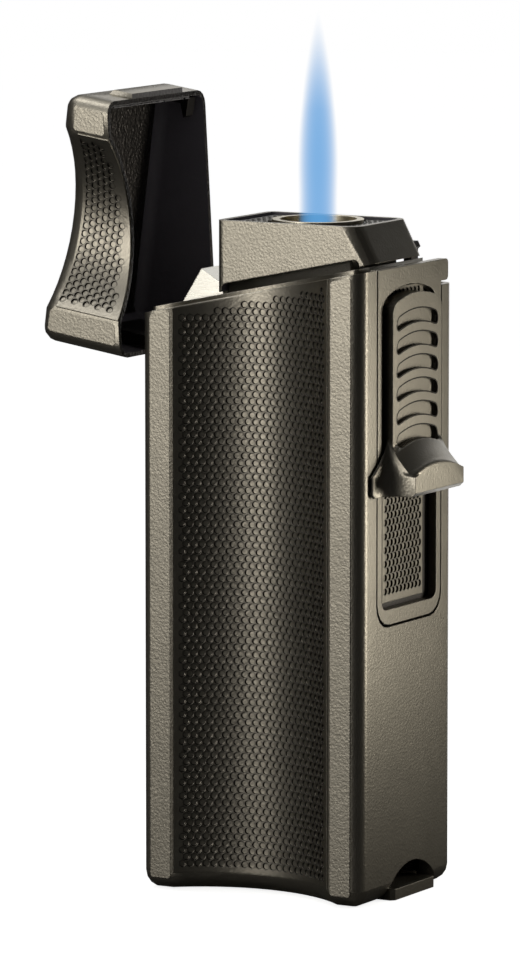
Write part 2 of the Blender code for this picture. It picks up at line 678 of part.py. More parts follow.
def make_punch_pin():
    reach = PUNCH_ROOT_HALF_WIDTH + FIT_GAP + LUG_WIDTH - 2 * RUN_GAP
    return rod("punch_pin", PUNCH_PIN_RADIUS, (PUNCH_PIVOT_X, PUNCH_Y - reach, PUNCH_PIVOT_Z),
               (PUNCH_PIVOT_X, PUNCH_Y + reach, PUNCH_PIVOT_Z), steel(), sides=SMALL_SIDES)


# ------------------------------------------------------------------------------------------ tank and valves

def make_fuel_tank():
    """The hollow gas tank, notched over the punch cutter, with its filler and outlet holes."""
    inset = CASE_WALL + 2 * FIT_GAP
    foot_inset = FOOT_WIDTH + FIT_GAP
    shoulder = FOOT_HEIGHT + FOOT_WIDTH + 2 * FIT_GAP
    tank = loft("fuel_tank", [
        case_ring(foot_inset, TANK_BOTTOM_Z), case_ring(inset, max(shoulder, TANK_BOTTOM_Z + MM)),
        case_ring(inset, TANK_TOP_Z)], clear_resin())
    hollow = loft("tank_hollow", [
        case_ring(inset + TANK_WALL, TANK_BOTTOM_Z + TANK_WALL + FIT_GAP),
        case_ring(inset + TANK_WALL, TANK_TOP_Z - TANK_WALL)])
    well = cutter_well("punch_well", 0.0)
    hollow_well = cutter_well("hollow_well", TANK_WALL)
    cut(hollow, hollow_well)
    below = TANK_BOTTOM_Z - MM
    filler = rod("tank_filler_hole", FILLER_RADIUS + FIT_GAP, (FILLER_X, 0, below),
                 (FILLER_X, 0, below + 4 * MM))
    spindle = rod("tank_spindle_hole", SPINDLE_RADIUS + RUN_GAP, (VALVE_X, VALVE_Y, below),
                  (VALVE_X, VALVE_Y, below + 4 * MM), sides=SMALL_SIDES)
    outlet = rod("tank_outlet_hole", VALVE_RADIUS + FIT_GAP, (VALVE_X, VALVE_Y, TANK_TOP_Z - 3 * MM),
                 (VALVE_X, VALVE_Y, TANK_TOP_Z + MM))
    cut(tank, hollow, well, filler, spindle, outlet)
    for i, (x, y) in enumerate(screw_places()):
        cut(tank,
            rod(f"tank_screw_{i}", SCREW_RADIUS + RUN_GAP, (x, y, below), (x, y, SCREW_LENGTH + FIT_GAP),
                sides=SMALL_SIDES))
    return tank


def cutter_well(name, wall):
    """Cutter for the space that the punch cutter swings through, grown by a wall."""
    top = PUNCH_PLATE_THICKNESS + CUTTER_HEIGHT + 3 * FIT_GAP + wall
    half = CUTTER_RADIUS + 2 * FIT_GAP + wall
    x0 = CUTTER_X - CUTTER_RADIUS - 2 * FIT_GAP - wall
    return box(name, (x0, PUNCH_Y - half, -MM), (CASE_WIDTH, PUNCH_Y + half, top))


def make_filler_valve():
    """Filler valve body with its sprung stem, and the seal ring between the base plate and the tank."""
    z0 = FILLER_SUNK
    z1 = z0 + FILLER_HEIGHT
    body = rod("filler_valve_body", FILLER_RADIUS, (FILLER_X, 0, z0), (FILLER_X, 0, z1), brass())
    bore = rod("filler_bore", FILLER_BORE_RADIUS, (FILLER_X, 0, z0 - MM), (FILLER_X, 0, z1 - FILLER_FLOOR),
               sides=SMALL_SIDES)
    cut(body, bore)
    stem_z = z0 + FILLER_SUNK
    stem_top = z1 - FILLER_FLOOR - FILLER_TRAVEL - FIT_GAP
    stem = rod("filler_stem", FILLER_STEM_RADIUS, (FILLER_X, 0, stem_z), (FILLER_X, 0, stem_top), nickel(),
               sides=SMALL_SIDES)
    drill = rod("filler_stem_bore", FILLER_STEM_RADIUS / 2, (FILLER_X, 0, stem_z - MM),
                (FILLER_X, 0, (stem_z + stem_top) / 2), sides=SMALL_SIDES)
    cut(stem, drill)
    origin_at(stem, (FILLER_X, 0, stem_z))
    ring_z = (BASE_PLATE_THICKNESS + TANK_BOTTOM_Z) / 2
    bm = bmesh.new()
    centre_radius = FILLER_RADIUS + FIT_GAP + SEAL_RADIUS
    section = [bm.verts.new((FILLER_X + centre_radius + y, 0, ring_z + z))
               for y, z in arc((0, 0), SEAL_RADIUS, 0, 315, 7)]
    edges = [bm.edges.new((a, b)) for a, b in zip(section, section[1:] + section[:1])]
    bmesh.ops.spin(bm, geom=section + edges, cent=(FILLER_X, 0, 0), axis=(0, 0, 1), angle=2 * math.pi,
                   steps=ROUND_SIDES, use_duplicate=False)
    bmesh.ops.remove_doubles(bm, verts=bm.verts, dist=0.01 * MM)
    make_object("filler_seal_ring", bm, rubber())


def make_adjuster():
    """The flame adjuster: a slotted wheel on a spindle that enters the tank."""
    z0 = ADJUSTER_SUNK
    z1 = z0 + ADJUSTER_THICKNESS
    wheel = rod("flame_adjuster", ADJUSTER_RADIUS, (VALVE_X, VALVE_Y, z0), (VALVE_X, VALVE_Y, z1), brass())
    spindle = rod("spindle", SPINDLE_RADIUS, (VALVE_X, VALVE_Y, z1 - ADJUSTER_THICKNESS / 3),
                  (VALVE_X, VALVE_Y, TANK_BOTTOM_Z + SPINDLE_ENGAGED), sides=SMALL_SIDES)
    slot = box("driver_slot", (VALVE_X - ADJUSTER_RADIUS - MM, VALVE_Y - DRIVE_WIDTH, -MM),
               (VALVE_X + ADJUSTER_RADIUS + MM, VALVE_Y + DRIVE_WIDTH, z0 + ADJUSTER_THICKNESS / 2))
    cut(join(wheel, spindle), slot)
    origin_at(wheel, (VALVE_X, VALVE_Y, z0))


def make_inner_frame():
    """The plate on the tank that carries the outlet valve, the lever's ears and the igniter."""
    inset = CASE_WALL + 2 * FIT_GAP
    z0 = FRAME_Z
    z1 = z0 + FRAME_THICKNESS
    frame = loft("inner_frame", [case_ring(inset, z0), case_ring(inset, z1)], black_resin())
    for side in (-1, 1):
        near = VALVE_Y + side * (LEVER_HALF_WIDTH + FIT_GAP)
        far = near + side * EAR_THICKNESS
        ear = box(f"lever_ear_{side + 1}",
                  (LEVER_PIVOT_X - EAR_HALF_LENGTH, min(near, far), z0 + FRAME_THICKNESS / 3),
                  (LEVER_PIVOT_X + EAR_HALF_LENGTH, max(near, far), LEVER_Z + EAR_HALF_LENGTH))
        join(frame, ear)
    reach = LEVER_HALF_WIDTH + 3 * MM
    trim = box("frame_trim", (TRACK_BACK_X - FIT_GAP, -CASE_DEPTH, z0 - MM),
               (CASE_WIDTH, CASE_DEPTH, z1 + MM))
    hole = rod("valve_seat", VALVE_RADIUS + FIT_GAP, (VALVE_X, VALVE_Y, z0 - MM), (VALVE_X, VALVE_Y, z1 + MM))
    pin_hole = rod("lever_pin_hole", SMALL_PIN_RADIUS + RUN_GAP, (LEVER_PIVOT_X, VALVE_Y - reach, LEVER_Z),
                   (LEVER_PIVOT_X, VALVE_Y + reach, LEVER_Z), sides=SMALL_SIDES)
    return cut(frame, trim, hole, pin_hole)


def make_outlet_valve():
    """The gas outlet valve, and the stem with a collar that the lever lifts."""
    z0 = TANK_TOP_Z - VALVE_SUNK
    z1 = z0 + VALVE_LENGTH
    body = rod("outlet_valve_body", VALVE_RADIUS, (VALVE_X, VALVE_Y, z0), (VALVE_X, VALVE_Y, z1), brass())
    bore = rod("outlet_bore", VALVE_STEM_RADIUS + RUN_GAP, (VALVE_X, VALVE_Y, z0 + VALVE_SUNK),
               (VALVE_X, VALVE_Y, z1 + MM), sides=SMALL_SIDES)
    cut(body, bore)
    collar_z = LEVER_Z + LEVER_THICKNESS / 2 + FIT_GAP
    stem_z = z1 - VALVE_STEM_ENGAGED
    stem = rod("valve_stem", VALVE_STEM_RADIUS, (VALVE_X, VALVE_Y, stem_z), (VALVE_X, VALVE_Y, stem_top_z()),
               brass(), sides=SMALL_SIDES)
    collar = rod("stem_collar", COLLAR_RADIUS, (VALVE_X, VALVE_Y, collar_z),
                 (VALVE_X, VALVE_Y, collar_z + COLLAR_HEIGHT), sides=SMALL_SIDES)
    join(stem, collar)
    origin_at(stem, (VALVE_X, VALVE_Y, stem_z))


def stem_top_z():
    """Top of the valve stem at rest."""
    return LEVER_Z + LEVER_THICKNESS / 2 + FIT_GAP + COLLAR_HEIGHT + STEM_ABOVE_COLLAR


def make_valve_lever():
    """The forked lever that lifts the valve stem, and its pin."""
    z0 = LEVER_Z - LEVER_THICKNESS / 2
    z1 = LEVER_Z + LEVER_THICKNESS / 2
    y0 = VALVE_Y - LEVER_HALF_WIDTH
    y1 = VALVE_Y + LEVER_HALF_WIDTH
    tail_x = PIEZO_X - PIEZO_HALF_X - 3 * FIT_GAP
    lever = box("valve_lever", (VALVE_X - FORK_LENGTH, y0, z0), (tail_x, y1, z1), nickel())
    hub = rod("lever_hub", LEVER_HUB_RADIUS, (LEVER_PIVOT_X, y0 + SUNK, LEVER_Z),
              (LEVER_PIVOT_X, y1 - SUNK, LEVER_Z), sides=16)
    half = VALVE_STEM_RADIUS + RUN_GAP
    fork = box("fork_slot", (VALVE_X - 2 * FORK_LENGTH, VALVE_Y - half, z0 - MM),
               (VALVE_X + VALVE_STEM_RADIUS + FIT_GAP, VALVE_Y + half, z1 + MM))
    bore = rod("lever_bore", SMALL_PIN_RADIUS + RUN_GAP, (LEVER_PIVOT_X, y0 - MM, LEVER_Z),
               (LEVER_PIVOT_X, y1 + MM, LEVER_Z), sides=SMALL_SIDES)
    cut(join(lever, hub), fork, bore)
    origin_at(lever, (LEVER_PIVOT_X, VALVE_Y, LEVER_Z))
    reach = LEVER_HALF_WIDTH + FIT_GAP + EAR_THICKNESS + RUN_GAP
    rod("lever_pin", SMALL_PIN_RADIUS, (LEVER_PIVOT_X, VALVE_Y - reach, LEVER_Z),
        (LEVER_PIVOT_X, VALVE_Y + reach, LEVER_Z), steel(), sides=SMALL_SIDES)


def smooth_route(points, steps):
    """Points on a smooth curve through the given ones (Catmull-Rom)."""
    knots = [Vector(p) for p in points]
    knots = [knots[0] * 2 - knots[1]] + knots + [knots[-1] * 2 - knots[-2]]
    route = []
    for a, b, c, d in zip(knots, knots[1:], knots[2:], knots[3:]):
        for i in range(steps):
            t = i / steps
            route.append(0.5 * (2 * b + (c - a) * t + (2 * a - 5 * b + 4 * c - d) * t * t
                                + (3 * b - 3 * c + d - a) * t ** 3))
    return route + [knots[-2]]


def burner_base_z():
    """Bottom of the mixing tube."""
    return nozzle_base_z() - FIT_GAP - TUBE_LENGTH


def nozzle_base_z():
    return HEAD_TOP_Z - SCREEN_RECESS - 0.3 * MM - NOZZLE_LENGTH


def make_gas_hose():
    """The short hose from the valve stem to the mixing tube."""
    start = Vector((VALVE_X, VALVE_Y, stem_top_z() + VALVE_LIFT + FIT_GAP))
    end = Vector((BURNER_X, 0, burner_base_z() - FIT_GAP))
    rise = Vector((0, 0, 1.3 * HOSE_RADIUS))
    middle = (start + end) / 2
    return wire("gas_hose", smooth_route([start, start + rise, middle, end - rise, end], 4), HOSE_RADIUS,
                rubber())


# --------------------------------------------------------------------------------------------------- burner

def make_mixing_tube():
    """The tube that mixes air into the gas, with two air holes near its foot."""
    z0 = burner_base_z()
    z1 = z0 + TUBE_LENGTH
    tube = rod("mixing_tube", TUBE_RADIUS, (BURNER_X, 0, z0), (BURNER_X, 0, z1), brass())
    bore = rod("mixing_bore", TUBE_BORE_RADIUS, (BURNER_X, 0, z0 + TUBE_FLOOR), (BURNER_X, 0, z1 + MM),
               sides=16)
    air = rod("air_holes", AIR_HOLE_RADIUS, (BURNER_X, -2 * TUBE_RADIUS, z0 + AIR_HOLE_HEIGHT),
              (BURNER_X, 2 * TUBE_RADIUS, z0 + AIR_HOLE_HEIGHT), sides=SMALL_SIDES)
    return cut(tube, bore, air)


def make_nozzle():
    """The burner nozzle inside the torch head: an open cup with a gas jet hole."""
    z0 = nozzle_base_z()
    z1 = z0 + NOZZLE_LENGTH
    nozzle = rod("burner_nozzle", NOZZLE_RADIUS, (BURNER_X, 0, z0), (BURNER_X, 0, z1), brass())
    bore = rod("nozzle_bore", NOZZLE_BORE_RADIUS, (BURNER_X, 0, z0 + NOZZLE_FLOOR), (BURNER_X, 0, z1 + MM))
    jet = rod("jet_hole", JET_RADIUS, (BURNER_X, 0, z0 - MM), (BURNER_X, 0, z0 + 2 * NOZZLE_FLOOR),
              sides=SMALL_SIDES)
    return cut(nozzle, bore, jet)


def make_burner_ring():
    """The pale ring round the flame opening."""
    z1 = HEAD_TOP_Z + RUN_GAP
    flange_z = HEAD_TOP_Z - SCREEN_RECESS + RUN_GAP
    ring = rod("burner_ring", RING_OUTER_RADIUS, (BURNER_X, 0, flange_z), (BURNER_X, 0, z1), brass(),
               sides=36)
    spigot = rod("ring_spigot", RING_INNER_RADIUS + RING_WALL, (BURNER_X, 0, z1 - RING_HEIGHT),
                 (BURNER_X, 0, (flange_z + z1) / 2), sides=36)
    bore = rod("ring_bore", RING_INNER_RADIUS, (BURNER_X, 0, z1 - RING_HEIGHT - MM), (BURNER_X, 0, z1 + MM),
               sides=36)
    return cut(join(ring, spigot), bore)


def head_ring(inset, height):
    """Plan of the torch head: its right face leans out downwards, between broad round corners."""
    flare = math.tan(HEAD_FLARE)
    rise = LEDGE_RISE + FIT_GAP
    bottom_x = (HEAD_RIGHT_X + flare * (HEAD_TOP_Z - CASE_TOP_Z - rise)) / (1 + flare * TAN_SLANT)
    right = (HEAD_RIGHT_X if height == "top" else bottom_x) - inset
    left = HEAD_LEFT_X + inset
    half = HEAD_HALF_DEPTH - inset
    small = max(HEAD_LEFT_CORNER - inset, 0.3 * MM)
    broad = max(HEAD_RIGHT_CORNER - inset, 0.3 * MM)
    outline = arc((right - broad, half - broad), broad, 0, 90, CORNER_STEPS)
    outline += arc((left + small, half - small), small, 90, 180, CORNER_STEPS)
    outline += arc((left + small, small - half), small, 180, 270, CORNER_STEPS)
    outline += arc((right - broad, broad - half), broad, 270, 360, CORNER_STEPS)
    if height == "top":
        return [(x, y, HEAD_TOP_Z) for x, y in outline]
    return [(x, y, rim_z(x, rise)) for x, y in outline]


def make_torch_head():
    """The shroud round the burner, open above and below, with an air slot along its front and back."""
    head = loft("torch_head", [head_ring(0, "bottom"), head_ring(0, "top")], gunmetal())
    low = [(x, y, z - 2 * MM) for x, y, z in head_ring(HEAD_WALL, "bottom")]
    high = [(x, y, z + 0.5 * MM) for x, y, z in head_ring(HEAD_WALL, "top")]
    cavity = loft("head_cavity", [low, head_ring(HEAD_WALL, "bottom"), head_ring(HEAD_WALL, "top"), high])
    x0 = HEAD_LEFT_X + HEAD_WALL
    x1 = HEAD_RIGHT_X + AIR_SLOT_REACH
    radius = AIR_SLOT_CORNER
    top = LEDGE_RISE + AIR_SLOT
    outline = [(x0, 0), (x1, 0)]
    outline += [(x, z + rim_z(x1 - radius, top) - radius)
                for x, z in arc((x1 - radius, 0), radius, 0, 90, CORNER_STEPS)]
    outline += [(x, z + rim_z(x0 + radius, top) - radius)
                for x, z in arc((x0 + radius, 0), radius, 90, 180, CORNER_STEPS)]
    outline[0] = (x0, rim_z(x0) - MM)
    outline[1] = (x1, rim_z(x1) - MM)
    slot = prism("air_slot", outline, -CASE_DEPTH, CASE_DEPTH, "Y")
    return cut(head, cavity, slot)


def make_screen_plate():
    """The sunken plate round the ring, inside the head's rim."""
    z1 = HEAD_TOP_Z - SCREEN_RECESS
    z0 = z1 - SCREEN_THICKNESS
    inset = HEAD_WALL + FIT_GAP
    outline = rounded_rectangle((HEAD_LEFT_X + inset, -HEAD_HALF_DEPTH + inset),
                                (HEAD_RIGHT_X - inset, HEAD_HALF_DEPTH - inset), 0.3 * MM)
    plate = prism("screen_plate", outline, z0, z1, "Z", black_metal())
    hole = rod("screen_hole", RING_INNER_RADIUS + RING_WALL + RUN_GAP, (BURNER_X, 0, z0 - MM),
               (BURNER_X, 0, z1 + MM), sides=36)
    return cut(plate, hole)


def slanted_block(name, low, high, rise_low, rise_high):
    """Cutter or tool block between two planes parallel to the rim."""
    outline = rounded_rectangle(low, high, 0.3 * MM)
    return loft(name, [[(x, y, rim_z(x, rise)) for x, y in outline] for rise in (rise_low, rise_high)])


def make_top_deck():
    """The slanted deck that closes the case, with a raised collar inside the torch head."""
    top = lambda x: rim_z(x, LEDGE_RISE)
    bottom = lambda x: rim_z(x, LEDGE_RISE - DECK_THICKNESS)
    deck = loft("top_deck", [case_ring(LEDGE_INSET, bottom), case_ring(LEDGE_INSET, top)], gunmetal())
    wall = HEAD_WALL + FIT_GAP
    x0 = HEAD_LEFT_X + wall
    x1 = HEAD_RIGHT_X - wall
    y1 = HEAD_HALF_DEPTH - wall
    thick = COLLAR_WALL
    slot_top = LEDGE_RISE + AIR_SLOT + COLLAR_ABOVE_SLOT
    collar = slanted_block("collar", (x0, -y1), (x1, y1), -FIT_GAP, slot_top)
    join(deck, collar)
    above = HEAD_TOP_Z
    below = rim_z(-SIDE_X) - 3 * MM
    inside = slanted_block("collar_inside", (x0 + thick, -y1 + thick), (x1 - thick, y1 - thick),
                           LEDGE_RISE - 2 * RUN_GAP, slot_top + MM)
    well = rod("burner_well", RING_INNER_RADIUS, (BURNER_X, 0, below), (BURNER_X, 0, above), sides=36)
    ear_y = HINGE_BLOCK_HALF_WIDTH + EAR_WIDTH + 3 * FIT_GAP
    hinge_gate = box("deck_hinge_gate", (-CASE_WIDTH, -ear_y, below), (HEAD_LEFT_X - FIT_GAP, ear_y, above))
    plate_gate = box("deck_plate_gate",
                     (TRACK_BACK_X - FIT_GAP, SIDE_CENTRE_Y - SIDE_PLATE_HALF_WIDTH - FIT_GAP, below),
                     (CASE_WIDTH, CASE_DEPTH, above))
    latch_gate = box("deck_latch_gate",
                     (LATCH_X - LATCH_ROOM, LATCH_Y - LATCH_HALF_WIDTH - 2 * FIT_GAP, below),
                     (CASE_WIDTH, CASE_DEPTH, above))
    return cut(deck, inside, well, hinge_gate, plate_gate, latch_gate)


def make_electrode():
    """The spark electrode beside the nozzle, and the wire from the igniter to it."""
    x = BURNER_X + (NOZZLE_RADIUS + RING_INNER_RADIUS) / 2
    z1 = HEAD_TOP_Z - SCREEN_RECESS - FIT_GAP / 2
    z0 = z1 - ELECTRODE_LENGTH
    rod("spark_electrode", ELECTRODE_RADIUS, (x, 0, z0), (x, 0, z1), steel(), sides=SMALL_SIDES)
    face_x = PIEZO_X - PIEZO_HALF_X - FIT_GAP - WIRE_RADIUS
    foot_z = FRAME_Z + FRAME_THICKNESS + FIT_GAP
    y = -PIEZO_HALF_Y / 2
    step = (z0 - foot_z) / 7
    route = [(face_x, y, foot_z + step), (face_x, y, foot_z + 2 * step), (face_x, y, foot_z + 3.5 * step),
             ((face_x + x) / 2, y / 2, foot_z + 5 * step), (x, 0, z0 - step), (x, 0, z0 - FIT_GAP)]
    wire("ignition_wire", smooth_route(route, 4), WIRE_RADIUS, black_resin())


# --------------------------------------------------------------------------------------- igniter and slider

def make_piezo():
    """The piezo igniter: an open-topped housing, and the plunger that the slider drives down."""
    z0 = FRAME_Z + FRAME_THICKNESS + FIT_GAP
    z1 = z0 + PIEZO_HEIGHT
    y0 = SIDE_CENTRE_Y - PIEZO_HALF_Y
    y1 = SIDE_CENTRE_Y + PIEZO_HALF_Y
    housing = box("piezo_housing", (PIEZO_X - PIEZO_HALF_X, y0, z0), (PIEZO_X + PIEZO_HALF_X, y1, z1),
                  black_resin())
    wall = PIEZO_WALL
    floor = z1 - PLUNGER_ENGAGED - SLIDER_TRAVEL - FIT_GAP
    pocket = box("piezo_pocket", (PIEZO_X - PIEZO_HALF_X + wall, y0 + wall, floor),
                 (PIEZO_X + PIEZO_HALF_X - wall, y1 - wall, z1 + MM))
    cut(housing, pocket)
    inner = wall + 0.15 * MM
    plunger = box("piezo_plunger", (PIEZO_X - PIEZO_HALF_X + inner, y0 + inner, z1 - PLUNGER_ENGAGED),
                  (PIEZO_X + PIEZO_HALF_X - inner, y1 - inner, CARRIAGE_BOTTOM_Z - FIT_GAP), black_resin())
    origin_at(plunger, (PIEZO_X, SIDE_CENTRE_Y, z1))


def make_side_plate():
    """The plate on the slider side, with the arched window that the slider runs in."""
    plate = prism("side_plate", side_plate_outline(), TRACK_X + FIT_GAP / 3, SIDE_X, "X", gunmetal())
    outline = arched_panel(WINDOW_HALF_WIDTH, SIDE_PLATE_BOTTOM_Z + WINDOW_BOTTOM_RISE, ARCH_Z, WINDOW_CORNER,
                           ARCH_CORNER)
    window = prism("slider_window", outline, TRACK_X - MM, SIDE_X + MM, "X")
    return cut(plate, window)


def make_track_plate():
    """The floor of the slider's track, slotted for the slider's stem, with a spring shelf and a latch lug."""
    y0 = SIDE_CENTRE_Y - SIDE_PLATE_HALF_WIDTH + FIT_GAP
    y1 = SIDE_CENTRE_Y + SIDE_PLATE_HALF_WIDTH - FIT_GAP
    z0 = SIDE_PLATE_BOTTOM_Z + FIT_GAP
    z1 = ARCH_Z + 2 * FIT_GAP
    plate = box("track_plate", (TRACK_BACK_X, y0, z0), (TRACK_X, y1, z1), black_metal())
    centre_y = SIDE_CENTRE_Y - SLIDER_SPRING_OFFSET_Y
    half = SLIDER_SPRING_RADIUS + SLIDER_SPRING_WIRE + 2 * RUN_GAP
    shelf_x = spring_x() - half
    shelf_z = spring_foot_z() - FIT_GAP / 2
    shelf = box("spring_shelf", (shelf_x, centre_y - half, shelf_z - SHELF_THICKNESS),
                (TRACK_BACK_X + FIT_GAP, centre_y + half, shelf_z))
    lug_y = LATCH_Y - LATCH_HALF_WIDTH - FIT_GAP - LUG_THICKNESS
    lug = box("latch_lug", (LATCH_X - LUG_THICKNESS, lug_y, LATCH_Z - LUG_THICKNESS),
              (TRACK_BACK_X + FIT_GAP, lug_y + LUG_THICKNESS, LATCH_Z + LUG_THICKNESS))
    join(plate, shelf, lug)
    slot_half = STEM_HALF_WIDTH + FIT_GAP
    slot = box("stem_slot",
               (TRACK_BACK_X - MM, SIDE_CENTRE_Y - slot_half,
                STEM_TOP_Z - STEM_HEIGHT - SLIDER_TRAVEL - FIT_GAP),
               (TRACK_X + MM, SIDE_CENTRE_Y + slot_half, STEM_TOP_Z + FIT_GAP))
    pin_hole = rod("latch_pin_hole", SMALL_PIN_RADIUS + RUN_GAP, (LATCH_X, lug_y - MM, LATCH_Z),
                   (LATCH_X, lug_y + 2 * MM, LATCH_Z), sides=SMALL_SIDES)
    return cut(plate, slot, pin_hole)


def spring_x():
    return CARRIAGE_FACE_X - CARRIAGE_THICKNESS / 2


def spring_foot_z():
    return CARRIAGE_BOTTOM_Z - SLIDER_TRAVEL - SLIDER_SPRING_SOLID


def arch_drop(y):
    """How far the slider's arches fall away from their crown at a distance y from the middle."""
    return ARCH_RADIUS - math.sqrt(ARCH_RADIUS ** 2 - y ** 2)


def arched_panel(half_width, bottom, top, bottom_corner, top_corner, hollow=0.0):
    """Outline in (y, z): round corners and an arched top. A hollow of 1 arches the bottom the same way."""
    across = [half_width * (1 - i / 4) for i in range(1, 8)]
    points = arc((half_width - bottom_corner, bottom + bottom_corner), bottom_corner, -90, 0, CORNER_STEPS)
    points += arc((half_width - top_corner, top - top_corner), top_corner, 0, 90, CORNER_STEPS)
    points += [(y, top) for y in across if abs(y) < half_width - top_corner]
    points += [(-y, z) for y,
               z in reversed(arc((half_width - top_corner, top - top_corner), top_corner, 0, 90,
                                 CORNER_STEPS))]
    points += [(-y, z) for y,
               z in reversed(arc((half_width - bottom_corner, bottom + bottom_corner), bottom_corner, -90,
                                 0, CORNER_STEPS))]
    if hollow:
        points += [(-y, bottom) for y in across if abs(y) < half_width - bottom_corner]
    middle = (bottom + top) / 2
    return [(SIDE_CENTRE_Y + y, z - arch_drop(y) * (1.0 if z > middle else hollow)) for y, z in points]


def lip_ring(z, face_x, foot_half, arch):
    """Section of the thumb lip: a face that arches with the pockets, and hollow flanks down to the foot."""
    foot_x = SIDE_X + FIT_GAP
    half = min(SLIDER_HALF_WIDTH, foot_half)
    flank = []
    steps = 6
    for i in range(steps):
        t = i / steps
        sag = 0.3 * math.sin(math.pi * t)
        flank.append((foot_x + (face_x - foot_x) * (t - sag), foot_half + (half - foot_half) * (t + sag)))
    face = [(face_x, half * (1 - j / 4)) for j in range(9)]
    points = flank + face + [(x, -y) for x, y in reversed(flank)]
    return [(x, SIDE_CENTRE_Y + y, z - arch * arch_drop(min(abs(y), half))) for x, y in points]


def make_thumb_slider():
    """The thumb slider: an arched tongue with finger pockets, a swept lip, and the stem through the track."""
    foot = TRACK_X + FIT_GAP
    face = SIDE_X + SLIDER_PROUD
    low = SLIDER_BOTTOM_Z + LIP_EDGE
    outline = arched_panel(SLIDER_HALF_WIDTH, low, SLIDER_TOP_Z, LIP_EDGE / 2, SLIDER_CORNER)
    slider = prism("thumb_slider", outline, foot, face, "X", gunmetal())
    stem = box("slider_stem", (foot - STEM_LENGTH, SIDE_CENTRE_Y - STEM_HALF_WIDTH, STEM_TOP_Z - STEM_HEIGHT),
               (foot + SLIDER_PROUD / 2, SIDE_CENTRE_Y + STEM_HALF_WIDTH, STEM_TOP_Z))
    lip_x = SIDE_X + LIP_PROUD
    edge = LIP_EDGE
    rings = [lip_ring(SLIDER_BOTTOM_Z, lip_x - edge, FLARE_HALF_WIDTH - edge, 0.0),
             lip_ring(SLIDER_BOTTOM_Z + edge, lip_x, FLARE_HALF_WIDTH, 0.0),
             lip_ring(SLIDER_BOTTOM_Z + LIP_HEIGHT - edge, lip_x, FLARE_HALF_WIDTH, 0.8)]
    steps = 9
    sweep_z = SLIDER_BOTTOM_Z + LIP_HEIGHT
    for i in range(steps + 1):
        t = i / steps
        hollow = 1 - math.sin(math.pi / 2 * t)
        reach = face - edge / 4 + (lip_x - edge - face) * hollow
        spread = SLIDER_HALF_WIDTH + edge / 10 + (FLARE_HALF_WIDTH - SLIDER_HALF_WIDTH) * (1 - t) ** 1.6
        rings.append(lip_ring(sweep_z + LIP_SWEEP_HEIGHT * t, reach, spread, 1.0))
    rings.append(lip_ring(sweep_z + LIP_SWEEP_HEIGHT + edge, face - edge, SLIDER_HALF_WIDTH - edge, 1.0))
    join(slider, stem, loft("slider_lip", rings))
    for i in range(POCKET_COUNT):
        top = SLIDER_TOP_Z - FIRST_POCKET_DROP - i * POCKET_PITCH
        outline = arched_panel(POCKET_HALF_WIDTH, top - POCKET_HEIGHT, top, POCKET_CORNER, POCKET_CORNER, 1.0)
        cut(slider, prism(f"finger_pocket_{i}", outline, face - POCKET_DEPTH, face + MM, "X"))
    return slider


def make_slider_carriage():
    """The block on the slider's stem inside the case: it presses the igniter and the return spring."""
    x1 = CARRIAGE_FACE_X
    x0 = x1 - CARRIAGE_THICKNESS
    y0 = SIDE_CENTRE_Y - CARRIAGE_HALF_WIDTH
    y1 = SIDE_CENTRE_Y + CARRIAGE_HALF_WIDTH
    block = box("slider_carriage", (x0, y0, CARRIAGE_BOTTOM_Z), (x1, y1, CARRIAGE_TOP_Z), black_resin())
    arm_y = SIDE_CENTRE_Y - SLIDER_SPRING_OFFSET_Y - SLIDER_SPRING_RADIUS - SLIDER_SPRING_WIRE
    arm = box("spring_arm", (x0 + RUN_GAP, arm_y, CARRIAGE_BOTTOM_Z + RUN_GAP),
              (x1 - RUN_GAP, y0 + SPRING_ARM_HEIGHT / 2, CARRIAGE_BOTTOM_Z + SPRING_ARM_HEIGHT))
    return join(block, arm)


def coil_points(centre, radius, turns, low, high, points_per_turn=9):
    """Points of a coil along Z, its first and last half turns flat."""
    count = int(turns * points_per_turn)
    points = []
    for i in range(count + 1):
        t = i / count
        angle = 2 * math.pi * turns * t
        points.append((centre[0] + radius * math.cos(angle), centre[1] + radius * math.sin(angle),
                       low + (high - low) * t))
    return points


def make_slider_spring():
    """The coil spring that returns the slider, between the carriage's arm and the shelf."""
    centre = (spring_x(), SIDE_CENTRE_Y - SLIDER_SPRING_OFFSET_Y)
    low = spring_foot_z() + SLIDER_SPRING_WIRE + 0.1 * MM
    high = CARRIAGE_BOTTOM_Z - SLIDER_SPRING_WIRE - 0.1 * MM
    points = coil_points(centre, SLIDER_SPRING_RADIUS, SLIDER_SPRING_TURNS, low, high)
    gap = (high - low) / SLIDER_SPRING_TURNS - 2 * SLIDER_SPRING_WIRE
    print(f"slider_spring: least gap between turns {gap / MM:.2f} mm")
    return wire("slider_spring", points, SLIDER_SPRING_WIRE, steel(), resolution=1)


# -------------------------------------------------------------------------------------------- lid and hinge

def lid_top(x):
    """Height of the closed lid's top face at x."""
    share = (x + SIDE_X) / CASE_WIDTH
    return LID_TOP_LEFT_Z + (LID_TOP_RIGHT_Z - LID_TOP_LEFT_Z) * share


